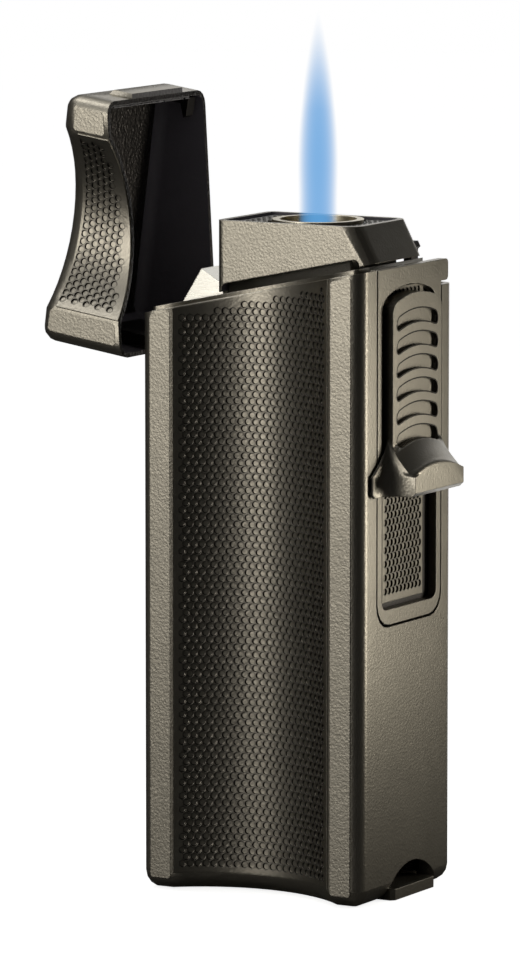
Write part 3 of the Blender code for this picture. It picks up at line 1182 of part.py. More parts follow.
def make_lid_shell():
    """The flip lid: a scooped cap with a slanted mouth and a thumb pad, drawn closed and swung open."""
    mouth = lambda x: rim_z(x, FIT_GAP)
    rings = [case_ring(0, mouth)] + fillet_rings(LID_FILLET, 0, lid_top, upwards=True)
    lid = loft("lid_shell", rings, gunmetal())
    inner_top = lambda x: lid_top(x) - LID_WALL
    inner_fillet = LID_FILLET - LID_WALL
    rings = [case_ring(LID_WALL, lambda x: rim_z(x, -MM))] + fillet_rings(
        inner_fillet, LID_WALL, inner_top, upwards=True)
    cavity = loft("lid_cavity", rings)
    y0 = SIDE_CENTRE_Y - PAD_HALF_WIDTH
    y1 = SIDE_CENTRE_Y + PAD_HALF_WIDTH
    skin = LID_WALL / 2
    edge = FIT_GAP + RUN_GAP / 2
    outer = SIDE_X + PAD_RAISE
    pad_top = rim_z(SIDE_X, edge + PAD_HEIGHT)
    pad = prism("lid_pad", [(SIDE_X - skin, rim_z(SIDE_X - skin, edge)), (outer, rim_z(outer, edge)),
                            (outer, pad_top), (SIDE_X - skin, pad_top + PAD_RAISE + skin)], y0, y1, "Y")
    inner = SIDE_X - LID_RIB
    rib_top = lid_top(inner) - LID_FILLET - LID_RIB
    rib = prism("lid_rib", [(inner, rim_z(inner, edge)), (SIDE_X - skin, rim_z(SIDE_X - skin, edge)),
                            (SIDE_X - skin, rib_top + LID_RIB), (inner, rib_top)],
                CORNER_RADIUS - SIDE_Y, LATCH_Y - LATCH_HALF_WIDTH - FIT_GAP, "Y")
    join(cut(join(lid, pad), cavity), rib)
    turn_about(lid, -LID_OPEN, (HINGE_X, HINGE_Z))
    return lid


def make_hinge_plate():
    """The lid's inner hinge plate: a web on the lid's wall and two ears that hold the pin."""
    x0 = -SIDE_X + LID_WALL + FIT_GAP
    x1 = x0 + HINGE_PLATE_THICKNESS
    web_z = rim_z(-SIDE_X, HINGE_WEB_RISE)
    top_z = LID_TOP_LEFT_Z - LID_FILLET - HINGE_WEB_DROP
    outer_y = HINGE_BLOCK_HALF_WIDTH + FIT_GAP + EAR_WIDTH
    plate = box("lid_hinge_plate", (x0, -outer_y, web_z), (x1, outer_y, top_z), black_metal())
    for side in (-1, 1):
        near = side * (HINGE_BLOCK_HALF_WIDTH + FIT_GAP)
        far = near + side * EAR_WIDTH
        tail = box(f"ear_arm_{side + 1}", (x0 + SUNK, min(near, far) + SUNK, HINGE_Z),
                   (x1 + EAR_ARM_EXTRA, max(near, far) - SUNK, web_z + MM))
        knob = rod(f"ear_{side + 1}", EAR_RADIUS, (HINGE_X, near + side * SUNK / 2, HINGE_Z),
                   (HINGE_X, far - side * SUNK / 2, HINGE_Z), sides=20)
        join(plate, tail, knob)
    bore = rod("ear_bore", HINGE_PIN_RADIUS + RUN_GAP, (HINGE_X, -outer_y - MM, HINGE_Z),
               (HINGE_X, outer_y + MM, HINGE_Z), sides=16)
    cut(plate, bore)
    turn_about(plate, -LID_OPEN, (HINGE_X, HINGE_Z))
    return plate


def make_lid_catch():
    """The hook on the lid's wall that the latch holds when the lid is closed."""
    x1 = SIDE_X - LID_WALL - FIT_GAP
    y0 = LATCH_Y - LATCH_HALF_WIDTH
    y1 = LATCH_Y + LATCH_HALF_WIDTH
    tip = LATCH_X + LATCH_HALF_THICKNESS + LATCH_NOSE + FIT_GAP
    foot_z = LATCH_Z + LATCH_LENGTH - 4 * LATCH_NOSE
    stem = 0.9 * MM
    top = foot_z + 3 * stem
    catch = prism("lid_catch", [(x1 - stem, foot_z + 3 * LATCH_NOSE), (tip, foot_z + LATCH_NOSE),
                                (tip + LATCH_NOSE, foot_z), (x1, foot_z), (x1, top), (x1 - stem, top)],
                  y0, y1, "Y", black_metal())
    turn_about(catch, -LID_OPEN, (HINGE_X, HINGE_Z))
    return catch


def make_lid_latch():
    """The latch lever that the slider tips back, and its pin."""
    y0 = LATCH_Y - LATCH_HALF_WIDTH
    y1 = LATCH_Y + LATCH_HALF_WIDTH
    top = LATCH_Z + LATCH_LENGTH
    half = LATCH_HALF_THICKNESS
    lever = prism("lid_latch",
                  [(LATCH_X - half, LATCH_Z - LATCH_TAIL), (LATCH_X + half, LATCH_Z - LATCH_TAIL),
                   (LATCH_X + half, top - 3 * LATCH_NOSE),
                   (LATCH_X + half + LATCH_NOSE, top - 2 * LATCH_NOSE), (LATCH_X + half, top),
                   (LATCH_X - half, top)], y0, y1, "Y", nickel())
    hub = rod("latch_hub", LATCH_HUB_RADIUS, (LATCH_X, y0 + SUNK, LATCH_Z),
              (LATCH_X, y1 - SUNK, LATCH_Z), sides=16)
    bore = rod("latch_bore", SMALL_PIN_RADIUS + RUN_GAP, (LATCH_X, y0 - MM, LATCH_Z),
               (LATCH_X, y1 + MM, LATCH_Z), sides=SMALL_SIDES)
    cut(join(lever, hub), bore)
    rod("latch_pin", SMALL_PIN_RADIUS, (LATCH_X, y0 - FIT_GAP - LUG_THICKNESS, LATCH_Z),
        (LATCH_X, y1 + FIT_GAP, LATCH_Z), steel(), sides=SMALL_SIDES)


def make_hinge_block():
    """The bright block beside the torch head: it carries the hinge pin, and its ridge stops the lid."""
    left = -SIDE_X + FIT_GAP
    right = HEAD_LEFT_X - 2 * FIT_GAP
    ridge_x = RIDGE_X
    ridge_z = rim_z(ridge_x, RIDGE_RISE)
    shoulder_x = -SIDE_X + 4.5 * FIT_GAP
    shoulder_z = rim_z(shoulder_x, FIT_GAP)
    foot_z = HINGE_Z - EAR_RADIUS - 2 * RUN_GAP
    outline = [(left, foot_z), (right, foot_z), (right, ridge_z - (right - ridge_x) * RIDGE_SLOPE),
               (ridge_x, ridge_z), (shoulder_x, shoulder_z), (left, shoulder_z - SHOULDER_HEIGHT)]
    half = HINGE_BLOCK_HALF_WIDTH
    block = prism("hinge_block", outline, -half, half, "Y", nickel())
    bore = rod("block_bore", HINGE_PIN_RADIUS + RUN_GAP, (HINGE_X, -2 * half, HINGE_Z),
               (HINGE_X, 2 * half, HINGE_Z), sides=16)
    spring_room = LID_SPRING_LENGTH / 2 + FIT_GAP
    groove = rod("spring_groove", HINGE_PIN_RADIUS + 2 * LID_SPRING_WIRE + 2.2 * FIT_GAP,
                 (HINGE_X, -spring_room, HINGE_Z), (HINGE_X, spring_room, HINGE_Z), sides=ROUND_SIDES)
    return cut(block, bore, groove)


def make_hinge_pin():
    reach = HINGE_BLOCK_HALF_WIDTH + FIT_GAP + EAR_WIDTH
    return rod("hinge_pin", HINGE_PIN_RADIUS, (HINGE_X, -reach, HINGE_Z), (HINGE_X, reach, HINGE_Z),
               steel(), sides=16)


def make_lid_spring():
    """The torsion spring on the hinge pin, inside the block's groove."""
    radius = HINGE_PIN_RADIUS + FIT_GAP / 2 + LID_SPRING_WIRE
    count = LID_SPRING_TURNS * 9
    points = []
    for i in range(count + 1):
        t = i / count
        angle = 2 * math.pi * LID_SPRING_TURNS * t
        points.append((HINGE_X + radius * math.cos(angle),
                       (t - 0.5) * (LID_SPRING_LENGTH - 2 * LID_SPRING_WIRE),
                       HINGE_Z + radius * math.sin(angle)))
    gap = (LID_SPRING_LENGTH - 2 * LID_SPRING_WIRE) / LID_SPRING_TURNS - 2 * LID_SPRING_WIRE
    print(f"lid_spring: least gap between turns {gap / MM:.2f} mm")
    return wire("lid_spring", points, LID_SPRING_WIRE, steel(), resolution=1)


def main():
    clear_scene()
    make_case_shell()
    make_base_plate()
    make_base_screws()
    punch_axis = (PUNCH_PIVOT_X, PUNCH_Y, PUNCH_PIVOT_Z)
    origin_at(make_punch_arm(), punch_axis)
    origin_at(make_punch_cutter(), punch_axis)
    make_punch_pin()
    make_fuel_tank()
    make_filler_valve()
    make_adjuster()
    make_inner_frame()
    make_outlet_valve()
    make_valve_lever()
    make_gas_hose()
    make_mixing_tube()
    make_nozzle()
    make_burner_ring()
    make_torch_head()
    make_screen_plate()
    make_top_deck()
    make_electrode()
    make_piezo()
    make_side_plate()
    make_track_plate()
    make_thumb_slider()
    make_slider_carriage()
    make_slider_spring()
    hinge = (HINGE_X, 0, HINGE_Z)
    origin_at(make_lid_shell(), hinge)
    origin_at(make_hinge_plate(), hinge)
    origin_at(make_lid_catch(), hinge)
    make_lid_latch()
    make_hinge_block()
    make_hinge_pin()
    make_lid_spring()


main()
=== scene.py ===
"""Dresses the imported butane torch: finishes, smooth skins, dimpled sheets, edges and the studio.

Lengths are in metres. The torch stands on z = 0 with its lid open, its scooped front to -Y, its slider to +X.
"""

import json
import math

import bmesh
import bpy
from bpy.props import FloatProperty, FloatVectorProperty, PointerProperty
from mathutils import Matrix, Vector

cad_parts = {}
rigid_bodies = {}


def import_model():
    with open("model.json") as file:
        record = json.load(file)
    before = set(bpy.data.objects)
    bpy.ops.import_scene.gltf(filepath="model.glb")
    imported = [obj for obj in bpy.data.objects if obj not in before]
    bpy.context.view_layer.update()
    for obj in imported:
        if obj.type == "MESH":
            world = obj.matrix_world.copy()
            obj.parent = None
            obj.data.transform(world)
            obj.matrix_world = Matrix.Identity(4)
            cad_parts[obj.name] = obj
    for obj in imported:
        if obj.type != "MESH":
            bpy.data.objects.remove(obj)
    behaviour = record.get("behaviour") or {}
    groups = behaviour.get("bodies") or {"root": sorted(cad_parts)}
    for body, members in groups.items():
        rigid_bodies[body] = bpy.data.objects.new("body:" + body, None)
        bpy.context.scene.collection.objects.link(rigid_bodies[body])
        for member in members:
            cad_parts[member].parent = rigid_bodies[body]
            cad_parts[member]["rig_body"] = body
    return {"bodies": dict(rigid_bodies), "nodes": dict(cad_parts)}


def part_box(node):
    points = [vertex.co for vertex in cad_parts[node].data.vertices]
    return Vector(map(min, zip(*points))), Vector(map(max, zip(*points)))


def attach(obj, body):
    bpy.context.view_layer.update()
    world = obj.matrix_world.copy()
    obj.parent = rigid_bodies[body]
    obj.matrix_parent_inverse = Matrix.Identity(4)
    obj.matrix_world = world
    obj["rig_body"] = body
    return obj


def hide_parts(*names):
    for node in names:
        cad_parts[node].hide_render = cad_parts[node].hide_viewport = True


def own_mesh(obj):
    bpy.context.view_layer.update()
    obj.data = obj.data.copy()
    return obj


bl_info = {
    "name": "Butane torch dressing",
    "version": (1, 0, 0),
    "blender": (4, 5, 0),
    "location": "View3D > Sidebar > Torch",
    "description": "Dresses the torch's fixed frame with finishes, dimpled panels and a studio",
    "category": "Object",
}

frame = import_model()
MM = 0.001
FINISHES = {}

# Nodes shown with smooth curved faces
SKINNED = ("case_shell lid_shell side_plate thumb_slider torch_head top_deck track_plate screen_plate "
           "burner_ring burner_nozzle hinge_block lid_hinge_plate lid_latch punch_arm punch_cutter "
           "base_plate").split()
SKIN_MERGE = 0.002 * MM      # vertices closer than this are one
SKIN_FLAT_DEGREES = 0.3      # faces that turn less than this are one
SKIN_SHARP_DEGREES = 32
SHEET_SHARP_DEGREES = 20
BEAD_SHARP_DEGREES = 40
EDGE_EASE = 0.14 * MM        # how far a hard edge looks rounded

# The case: a slanted rim and a concave front between two flat strips
CASE_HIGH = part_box("case_shell")[1]
HALF_X = CASE_HIGH.x
HALF_Y = CASE_HIGH.y
RIM_MID_Z = 76.37 * MM
TAN_SLANT = math.tan(math.radians(11.87))
SCOOP_HALF = 11.3 * MM
SCOOP_DEPTH = 4.4 * MM
SCOOP_RADIUS = (SCOOP_HALF ** 2 + SCOOP_DEPTH ** 2) / (2 * SCOOP_DEPTH)
SCOOP_CENTRE_Y = SCOOP_DEPTH - HALF_Y - SCOOP_RADIUS
PANEL_HALF = SCOOP_RADIUS * math.asin(SCOOP_HALF / SCOOP_RADIUS) - 0.15 * MM
PANEL_BOTTOM_Z = 2.3 * MM
PANEL_UNDER_RIM = 0.05 * MM
PANEL_FOOT_MARGIN = 0.5 * MM
RIM_MARGIN = 0.3 * MM        # plain border along the rim, besides the margin all round

# The lid, which the frame holds open at rest
HINGE = Vector((-13.6 * MM, 0, 68.6 * MM))
LID_OPEN = math.radians(81.4)
LID_TOP_Z = 85.65 * MM
LID_PANEL_TOP_Z = LID_TOP_Z - 2.1 * MM
LID_PANEL_OVER_RIM = 0.35 * MM
LID_HEAD_MARGIN = 0.4 * MM
LID_TURN = Matrix.Rotation(-LID_OPEN, 4, "Y")
LID_CENTRE = HINGE + LID_TURN.to_3x3() @ (Vector((0, 2 * MM, 82 * MM)) - HINGE)
LID_MOUTH = LID_TURN.to_3x3() @ Vector((TAN_SLANT, 0, -1)).normalized()

# Hollow pieces that are painted inside: a point in the hollow, and the way its mouth faces
HEAD_CENTRE = sum(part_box("torch_head"), Vector()) / 2
PAINTED = {"lid_shell": (LID_CENTRE, LID_MOUTH), "torch_head": (HEAD_CENTRE, Vector((0, 0, -1)))}
MOUTH_FACING = 0.98          # the cosine from which a face belongs to the mouth's rim

# The flat strips beside the scooped fronts, measured from the middle
STRIP_NEAR = 11.45 * MM
STRIP_FAR = 14.35 * MM
STRIP_PROUD = 0.04 * MM
STRIP_SKIRT = 0.35 * MM
CASE_STRIP_CUT = 0.25 * MM
CASE_STRIP_FOOT_Z = 1.5 * MM
CASE_STRIP_UNDER_RIM = 0.35 * MM
LID_STRIP_CUT = 0.35 * MM
LID_STRIP_OVER_RIM = 0.9 * MM
LID_STRIP_TOP_Z = LID_TOP_Z - 1.3 * MM

# The bead of painted highlight along the rim's front edge
BEAD_RADIUS = 0.11 * MM
BEAD_HALF = STRIP_FAR - 0.3 * MM
BEAD_BEHIND_FRONT = 0.1 * MM
BEAD_UNDER_RIM = 0.05 * MM
BEAD_STEPS = 60

# Dimples: how far a sheet lies off its surface, and the floor's share of a dimple's mouth
SHEET_LIFT = 0.02 * MM
DIMPLE_FLOOR = 0.84
DIMPLE_SIDES = 12

# The slider's side: its track, and the finger pockets as the slider's solid has them
SIDE_Y = 0.4 * MM
TRACK_X = HALF_X - 1.2 * MM
LAND_HALF = 5.3 * MM
LAND_LOW_Z = 37.6 * MM
LAND_HIGH_Z = 77.0 * MM
LAND_RISE = 0.25 * MM
LAND_SIDE_MARGIN = 0.55 * MM
LAND_END_MARGIN = 0.6 * MM
SLIDER_FACE_X = 16.9 * MM
POCKET_COUNT = 6
POCKET_PITCH = 2.93 * MM
POCKET_HEIGHT = 1.75 * MM
POCKET_CORNER = 0.75 * MM
POCKET_HALF = 5.4 * MM
# width of the painted shade line round each pocket
POCKET_SHADE_WIDTH = 0.17 * MM
FIRST_POCKET_Z = 74.35 * MM
ARCH_RADIUS = 16.0 * MM

# The dotted sheet round the burner ring
SCREEN_MARGIN = 0.4 * MM
SCREEN_PITCH = 0.8 * MM
SCREEN_DEPTH = 0.14 * MM
SCREEN_DOT = 0.28 * MM
SCREEN_RING_GAP = 0.6 * SCREEN_PITCH

# The studio. Azimuth 0 is the front, 90 the slider side
FLOOR_RADIUS = 1.5
FLOOR_Z = -0.05 * MM
FLOOR_GREY = 0.90
FLOOR_GLOW = 0.82
ROOM_GREY = 0.20
CARD_DISTANCE = 0.9
CARD_LIFT = -0.02 * MM
CARD_STEPS = 24
AIM_Z = 40 * MM

# The view that was fitted to the photo, in millimetres and pixels
VIEW_TURN = math.radians(29.4)
VIEW_TIP = math.radians(7.608)
VIEW_FOCAL = 6919.686
VIEW_PIXELS = 972
VIEW_SENSOR = 36
VIEW_AIM = 42.0
VIEW_DISTANCE = 873.584
VIEW_RIGHT = -4.702
VIEW_UP = 8.781

# The flame: its size and glow, its half width along its height, and the lid's travel at which it is out
FLAME_RADIUS = 2.7 * MM
FLAME_LENGTH = 28.0 * MM
FLAME_DENSITY = 640.0
FLAME_COLOUR = (0.12, 0.38, 0.74)
FLAME_WAIST = ((0.0, 0.95), (0.12, 0.93), (0.35, 0.95), (0.6, 0.76), (0.8, 0.48), (1.0, 0.05))
FLAME_FADE_FROM = 0.55
FLAME_LID_TRAVEL = 0.5 * MM


def rim_z(x):
    """Height of the case's slanted rim at x."""
    return RIM_MID_Z + TAN_SLANT * x


# ---------------------------------------------------------------- node helpers

def new_material(name):
    """A finish under its own name, its node tree and its shader."""
    material = bpy.data.materials.new(name)
    FINISHES[name] = material
    material.use_nodes = True
    tree = material.node_tree
    return material, tree, tree.nodes["Principled BSDF"]


def add(tree, kind, **values):
    """A node with its inputs set by name, and its own properties by names that start with an underscore."""
    node = tree.nodes.new(kind)
    for key, value in values.items():
        if key.startswith("_"):
            setattr(node, key[1:], value)
        else:
            node.inputs[key.replace("_", " ")].default_value = value
    return node


def mix_value(tree, factor, low, high):
    """A Map Range from 0..1 to low..high."""
    node = tree.nodes.new("ShaderNodeMapRange")
    node.inputs["To Min"].default_value = low
    node.inputs["To Max"].default_value = high
    tree.links.new(factor, node.inputs["Value"])
    return node.outputs["Result"]


def tint(tree, factor, dark, light):
    """A colour between two, by a 0..1 value."""
    node = tree.nodes.new("ShaderNodeMix")
    node.data_type = "RGBA"
    node.inputs["A"].default_value = (*dark, 1)
    node.inputs["B"].default_value = (*light, 1)
    tree.links.new(factor, node.inputs["Factor"])
    return node.outputs["Result"]


def eased_edges(tree):
    """Normals that round every hard edge a little, as tumbling does."""
    return add(tree, "ShaderNodeBevel", Radius=EDGE_EASE, _samples=4).outputs["Normal"]


def cast_metal(name, colour, roughness, grain=0.35, metallic=1.0, spread=0.12, grain_size=2600.0,
               bump=0.03 * MM):
    """Satin coated metal: a fine pebbled skin, soft blotches and small changes of sheen."""
    material, tree, shader = new_material(name)
    link = tree.links.new
    place = add(tree, "ShaderNodeTexCoord")
    blotch = add(tree, "ShaderNodeTexNoise", Scale=grain_size / 16, Detail=4.0, Roughness=0.55)
    pebble = add(tree, "ShaderNodeTexNoise", Scale=grain_size, Detail=2.0, Roughness=0.5)
    speck = add(tree, "ShaderNodeTexVoronoi", Scale=grain_size * 0.6)
    for node in (blotch, pebble, speck):
        link(place.outputs["Object"], node.inputs["Vector"])
    dark = [c * (1 - spread) for c in colour]
    light = [c * (1 + spread) for c in colour]
    link(tint(tree, blotch.outputs["Fac"], dark, light), shader.inputs["Base Color"])
    sheen = mix_value(tree, pebble.outputs["Fac"], roughness - 0.07, roughness + 0.07)
    link(sheen, shader.inputs["Roughness"])
    shader.inputs["Metallic"].default_value = metallic
    height = tree.nodes.new("ShaderNodeMath")
    height.operation = "ADD"
    link(pebble.outputs["Fac"], height.inputs[0])
    link(speck.outputs["Distance"], height.inputs[1])
    relief = add(tree, "ShaderNodeBump", Strength=grain, Distance=bump)
    link(height.outputs["Value"], relief.inputs["Height"])
    link(eased_edges(tree), relief.inputs["Normal"])
    link(relief.outputs["Normal"], shader.inputs["Normal"])
    return material


def turned_metal(name, colour, roughness):
    """Bright turned or drawn metal, with fine lines."""
    material, tree, shader = new_material(name)
    link = tree.links.new
    place = add(tree, "ShaderNodeTexCoord")
    stretch = add(tree, "ShaderNodeMapping", Scale=(1.0, 1.0, 8.0))
    noise = add(tree, "ShaderNodeTexNoise", Scale=650.0, Detail=3.0)
    link(place.outputs["Object"], stretch.inputs["Vector"])
    link(stretch.outputs["Vector"], noise.inputs["Vector"])
    link(tint(tree, noise.outputs["Fac"], [c * 0.85 for c in colour], [min(c * 1.1, 1) for c in colour]),
         shader.inputs["Base Color"])
    sheen = mix_value(tree, noise.outputs["Fac"], roughness - 0.06, roughness + 0.06)
    link(sheen, shader.inputs["Roughness"])
    shader.inputs["Metallic"].default_value = 1.0
    relief = add(tree, "ShaderNodeBump", Strength=0.15, Distance=0.02 * MM)
    link(noise.outputs["Fac"], relief.inputs["Height"])
    link(eased_edges(tree), relief.inputs["Normal"])
    link(relief.outputs["Normal"], shader.inputs["Normal"])
    return material


def moulded(name, colour, roughness, clear=0.0):
    """Moulded plastic or rubber with a faint uneven skin."""
    material, tree, shader = new_material(name)
    link = tree.links.new
    place = add(tree, "ShaderNodeTexCoord")
    noise = add(tree, "ShaderNodeTexNoise", Scale=900.0, Detail=3.0)
    link(place.outputs["Object"], noise.inputs["Vector"])
    link(tint(tree, noise.outputs["Fac"], [c * 0.8 for c in colour], [min(c * 1.15, 1) for c in colour]),
         shader.inputs["Base Color"])
    sheen = mix_value(tree, noise.outputs["Fac"], roughness - 0.05, roughness + 0.05)
    link(sheen, shader.inputs["Roughness"])
    shader.inputs["Transmission Weight"].default_value = clear
    relief = add(tree, "ShaderNodeBump", Strength=0.2, Distance=0.03 * MM)
    link(noise.outputs["Fac"], relief.inputs["Height"])
    link(relief.outputs["Normal"], shader.inputs["Normal"])
    return material


# ---------------------------------------------------------------- mesh helpers

def new_object(name, bm):
    """A scene object with the shape of a bmesh."""
    mesh = bpy.data.meshes.new(name)
    bm.to_mesh(mesh)
    bm.free()
    obj = bpy.data.objects.new(name, mesh)
    bpy.context.scene.collection.objects.link(obj)
    return obj


def finish_object(name, bm, material, body, smooth_degrees):
    """An object with a finish, smooth up to an angle, that rides on a body."""
    bmesh.ops.recalc_face_normals(bm, faces=bm.faces)
    obj = new_object(name, bm)
    obj.data.materials.append(material)
    obj.data.shade_smooth()
    obj.data.set_sharp_from_angle(angle=math.radians(smooth_degrees))
    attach(obj, body)
    return obj


def honeycomb(inside, dimpled, low, high, pitch, depth, radius):
    """A flat sheet of hexagons, dimpled where the rule says so. Height goes along +Z.

    A dimple's wall takes the sheet's second finish and the land round it the third; both are painted shade.
    """
    bm = bmesh.new()
    row_pitch = pitch * math.sqrt(3) / 2
    corner = pitch / math.sqrt(3)
    known = {}

    def vert(x, y, z=0.0):
        key = (round(x * 1e7), round(y * 1e7), round(z * 1e7))
        if key not in known:
            known[key] = bm.verts.new((x, y, z))
        return known[key]

    rows = range(math.floor(low[1] / row_pitch) - 1, math.ceil(high[1] / row_pitch) + 2)
    columns = range(math.floor(low[0] / pitch) - 1, math.ceil(high[0] / pitch) + 2)
    for row in rows:
        for column in columns:
            x = (column + (row % 2) / 2) * pitch
            y = row * row_pitch
            if not inside(x, y):
                continue
            hexagon = [vert(x + corner * math.cos(math.radians(60 * k + 30)),
                            y + corner * math.sin(math.radians(60 * k + 30))) for k in range(6)]
            if not dimpled(x, y):
                bm.faces.new(hexagon)
                continue
            turns = [math.radians(30 * k + 30) for k in range(DIMPLE_SIDES)]
            rim = [vert(x + radius * math.cos(turn), y + radius * math.sin(turn)) for turn in turns]
            floor = [vert(x + DIMPLE_FLOOR * radius * math.cos(turn),
                          y + DIMPLE_FLOOR * radius * math.sin(turn), -depth) for turn in turns]
            # the land round the dimple (finish 2) and the dimple's wall (finish 1) take painted shade
            for k in range(6):
                between = rim[(2 * k + 1) % DIMPLE_SIDES]
                land = (bm.faces.new((hexagon[k], between, rim[2 * k], rim[2 * k - 1])),
                        bm.faces.new((hexagon[k], hexagon[(k + 1) % 6], between)))
                for face in land:
                    face.material_index = 2
            for k in range(DIMPLE_SIDES):
                after = (k + 1) % DIMPLE_SIDES
                bm.faces.new((rim[k], rim[after], floor[after], floor[k])).material_index = 1
            bm.faces.new(floor)
    return bm


def add_painted_dimple_shade(sheet):
    """The painted shade of the dimples' walls and of the land between them."""
    for finish in ("painted_recess_shade", "painted_land_shade"):
        sheet.data.materials.append(finish_named(finish))


def dimple_sheet(name, bm, body):
    """A dimpled sheet in the case's finish, with painted shade on its dimples' walls and the land between
    them.
    """
    add_painted_dimple_shade(finish_object(name, bm, finish_named("satin_gunmetal"), body,
                                      SHEET_SHARP_DEGREES))


def trim_box(bm, low, high):
    """Cut a flat sheet to a rectangle."""
    for point, normal in (((high[0], 0), (1, 0)), ((low[0], 0), (-1, 0)),
                          ((0, high[1]), (0, 1)), ((0, low[1]), (0, -1))):
        trim_sheet(bm, point, normal)


def trim_sheet(bm, point, normal):
    """Cut a flat sheet along a line and drop what lies on the normal's side."""
    geom = bm.verts[:] + bm.edges[:] + bm.faces[:]
    bmesh.ops.bisect_plane(bm, geom=geom, plane_co=(*point, 0), plane_no=(*normal, 0), clear_outer=True,
                           dist=1e-8)


def cut_to_rim(bm, border, above=True):
    """Trim a sheet to a slowly curving border by pulling each overshooting vertex back onto it."""
    sign = 1 if above else -1
    past = [face for face in bm.faces if all(sign * (v.co.y - border(v.co.x)) > 0 for v in face.verts)]
    bmesh.ops.delete(bm, geom=past, context="FACES")
    for vert in bm.verts:
        if sign * (vert.co.y - border(vert.co.x)) > 0:
            vert.co.y = border(vert.co.x)


def skirt(bm, drop):
    """Fold the sheet's border down, so that its edge meets the surface under it."""
    border = [edge for edge in bm.edges if edge.is_boundary]
    made = bmesh.ops.extrude_edge_only(bm, edges=border)
    for vert in (v for v in made["geom"] if isinstance(v, bmesh.types.BMVert)):
        vert.co.z -= drop


def open_with_lid(bm):
    """Turn what was built on the closed lid to where the lid stands open."""
    turn = Matrix.Translation(HINGE) @ LID_TURN @ Matrix.Translation(-HINGE)
    bmesh.ops.transform(bm, matrix=turn, verts=bm.verts)


def wrap_on_scoop(bm, proud):
    """Bend a flat sheet, its height outwards, onto the case's concave front."""
    for vert in bm.verts:
        s, z, height = vert.co
        reach = SCOOP_RADIUS - proud - height
        angle = s / SCOOP_RADIUS
        vert.co = (reach * math.sin(angle), SCOOP_CENTRE_Y + reach * math.cos(angle), z)


# -------------------------------------------------------------------- settings

class FinishSettings(bpy.types.PropertyGroup):
    """Colours and sheen of the torch's metals"""
    case_colour: FloatVectorProperty(name="Case colour", description="Colour of the satin coated metal",
                                     subtype="COLOR", size=3, min=0, max=1, default=(0.31, 0.285, 0.235))
    case_roughness: FloatProperty(name="Case roughness", description="How softly the satin metal shines",
                                  subtype="FACTOR", min=0.1, max=0.9, default=0.36)
    dark_colour: FloatVectorProperty(name="Dark metal colour",
                                     description="Colour of the blackened inner metal", subtype="COLOR",
                                     size=3, min=0, max=1, default=(0.07, 0.065, 0.06))
    ring_colour: FloatVectorProperty(name="Ring colour", description="Colour of the pale brass pieces",
                                     subtype="COLOR", size=3, min=0, max=1, default=(0.66, 0.60, 0.46))


class DimpleSettings(bpy.types.PropertyGroup):
    """Sizes of the dimples on the sheets"""
    pitch: FloatProperty(name="Pitch", description="Distance between neighbouring dimples",
                         subtype="DISTANCE", unit="LENGTH", min=0.0005, max=0.003, default=0.001)
    radius: FloatProperty(name="Radius", description="Radius of one dimple's mouth", subtype="DISTANCE",
                          unit="LENGTH", min=0.0002, max=0.0015, default=0.00043)
    depth: FloatProperty(name="Depth", description="Depth of one dimple", subtype="DISTANCE", unit="LENGTH",
                         min=0.00002, max=0.0005, default=0.0002)
    margin: FloatProperty(name="Margin", description="Plain border round a dimpled field", subtype="DISTANCE",
                          unit="LENGTH", min=0.0, max=0.003, default=0.0009)


class StudioSettings(bpy.types.PropertyGroup):
    """Strengths of the softboxes"""
    key_power: FloatProperty(name="Key power", description="Strength of the left softbox", unit="POWER",
                             min=0, default=0.66)
    side_power: FloatProperty(name="Side power", description="Strength of the right softbox", unit="POWER",
                              min=0, default=0.034)
    top_power: FloatProperty(name="Top power", description="Strength of the overhead softbox", unit="POWER",
                             min=0, default=0.24)


class TorchSettings(bpy.types.PropertyGroup):
    """All values of the sidebar panel"""
    finish: PointerProperty(type=FinishSettings)
    dimples: PointerProperty(type=DimpleSettings)
    studio: PointerProperty(type=StudioSettings)


def settings():
    """The panel's values."""
    return bpy.context.scene.torch_settings


def finish_named(name):
    """A finish that was made before."""
    return FINISHES[name]


# ------------------------------------------------------------------- operators

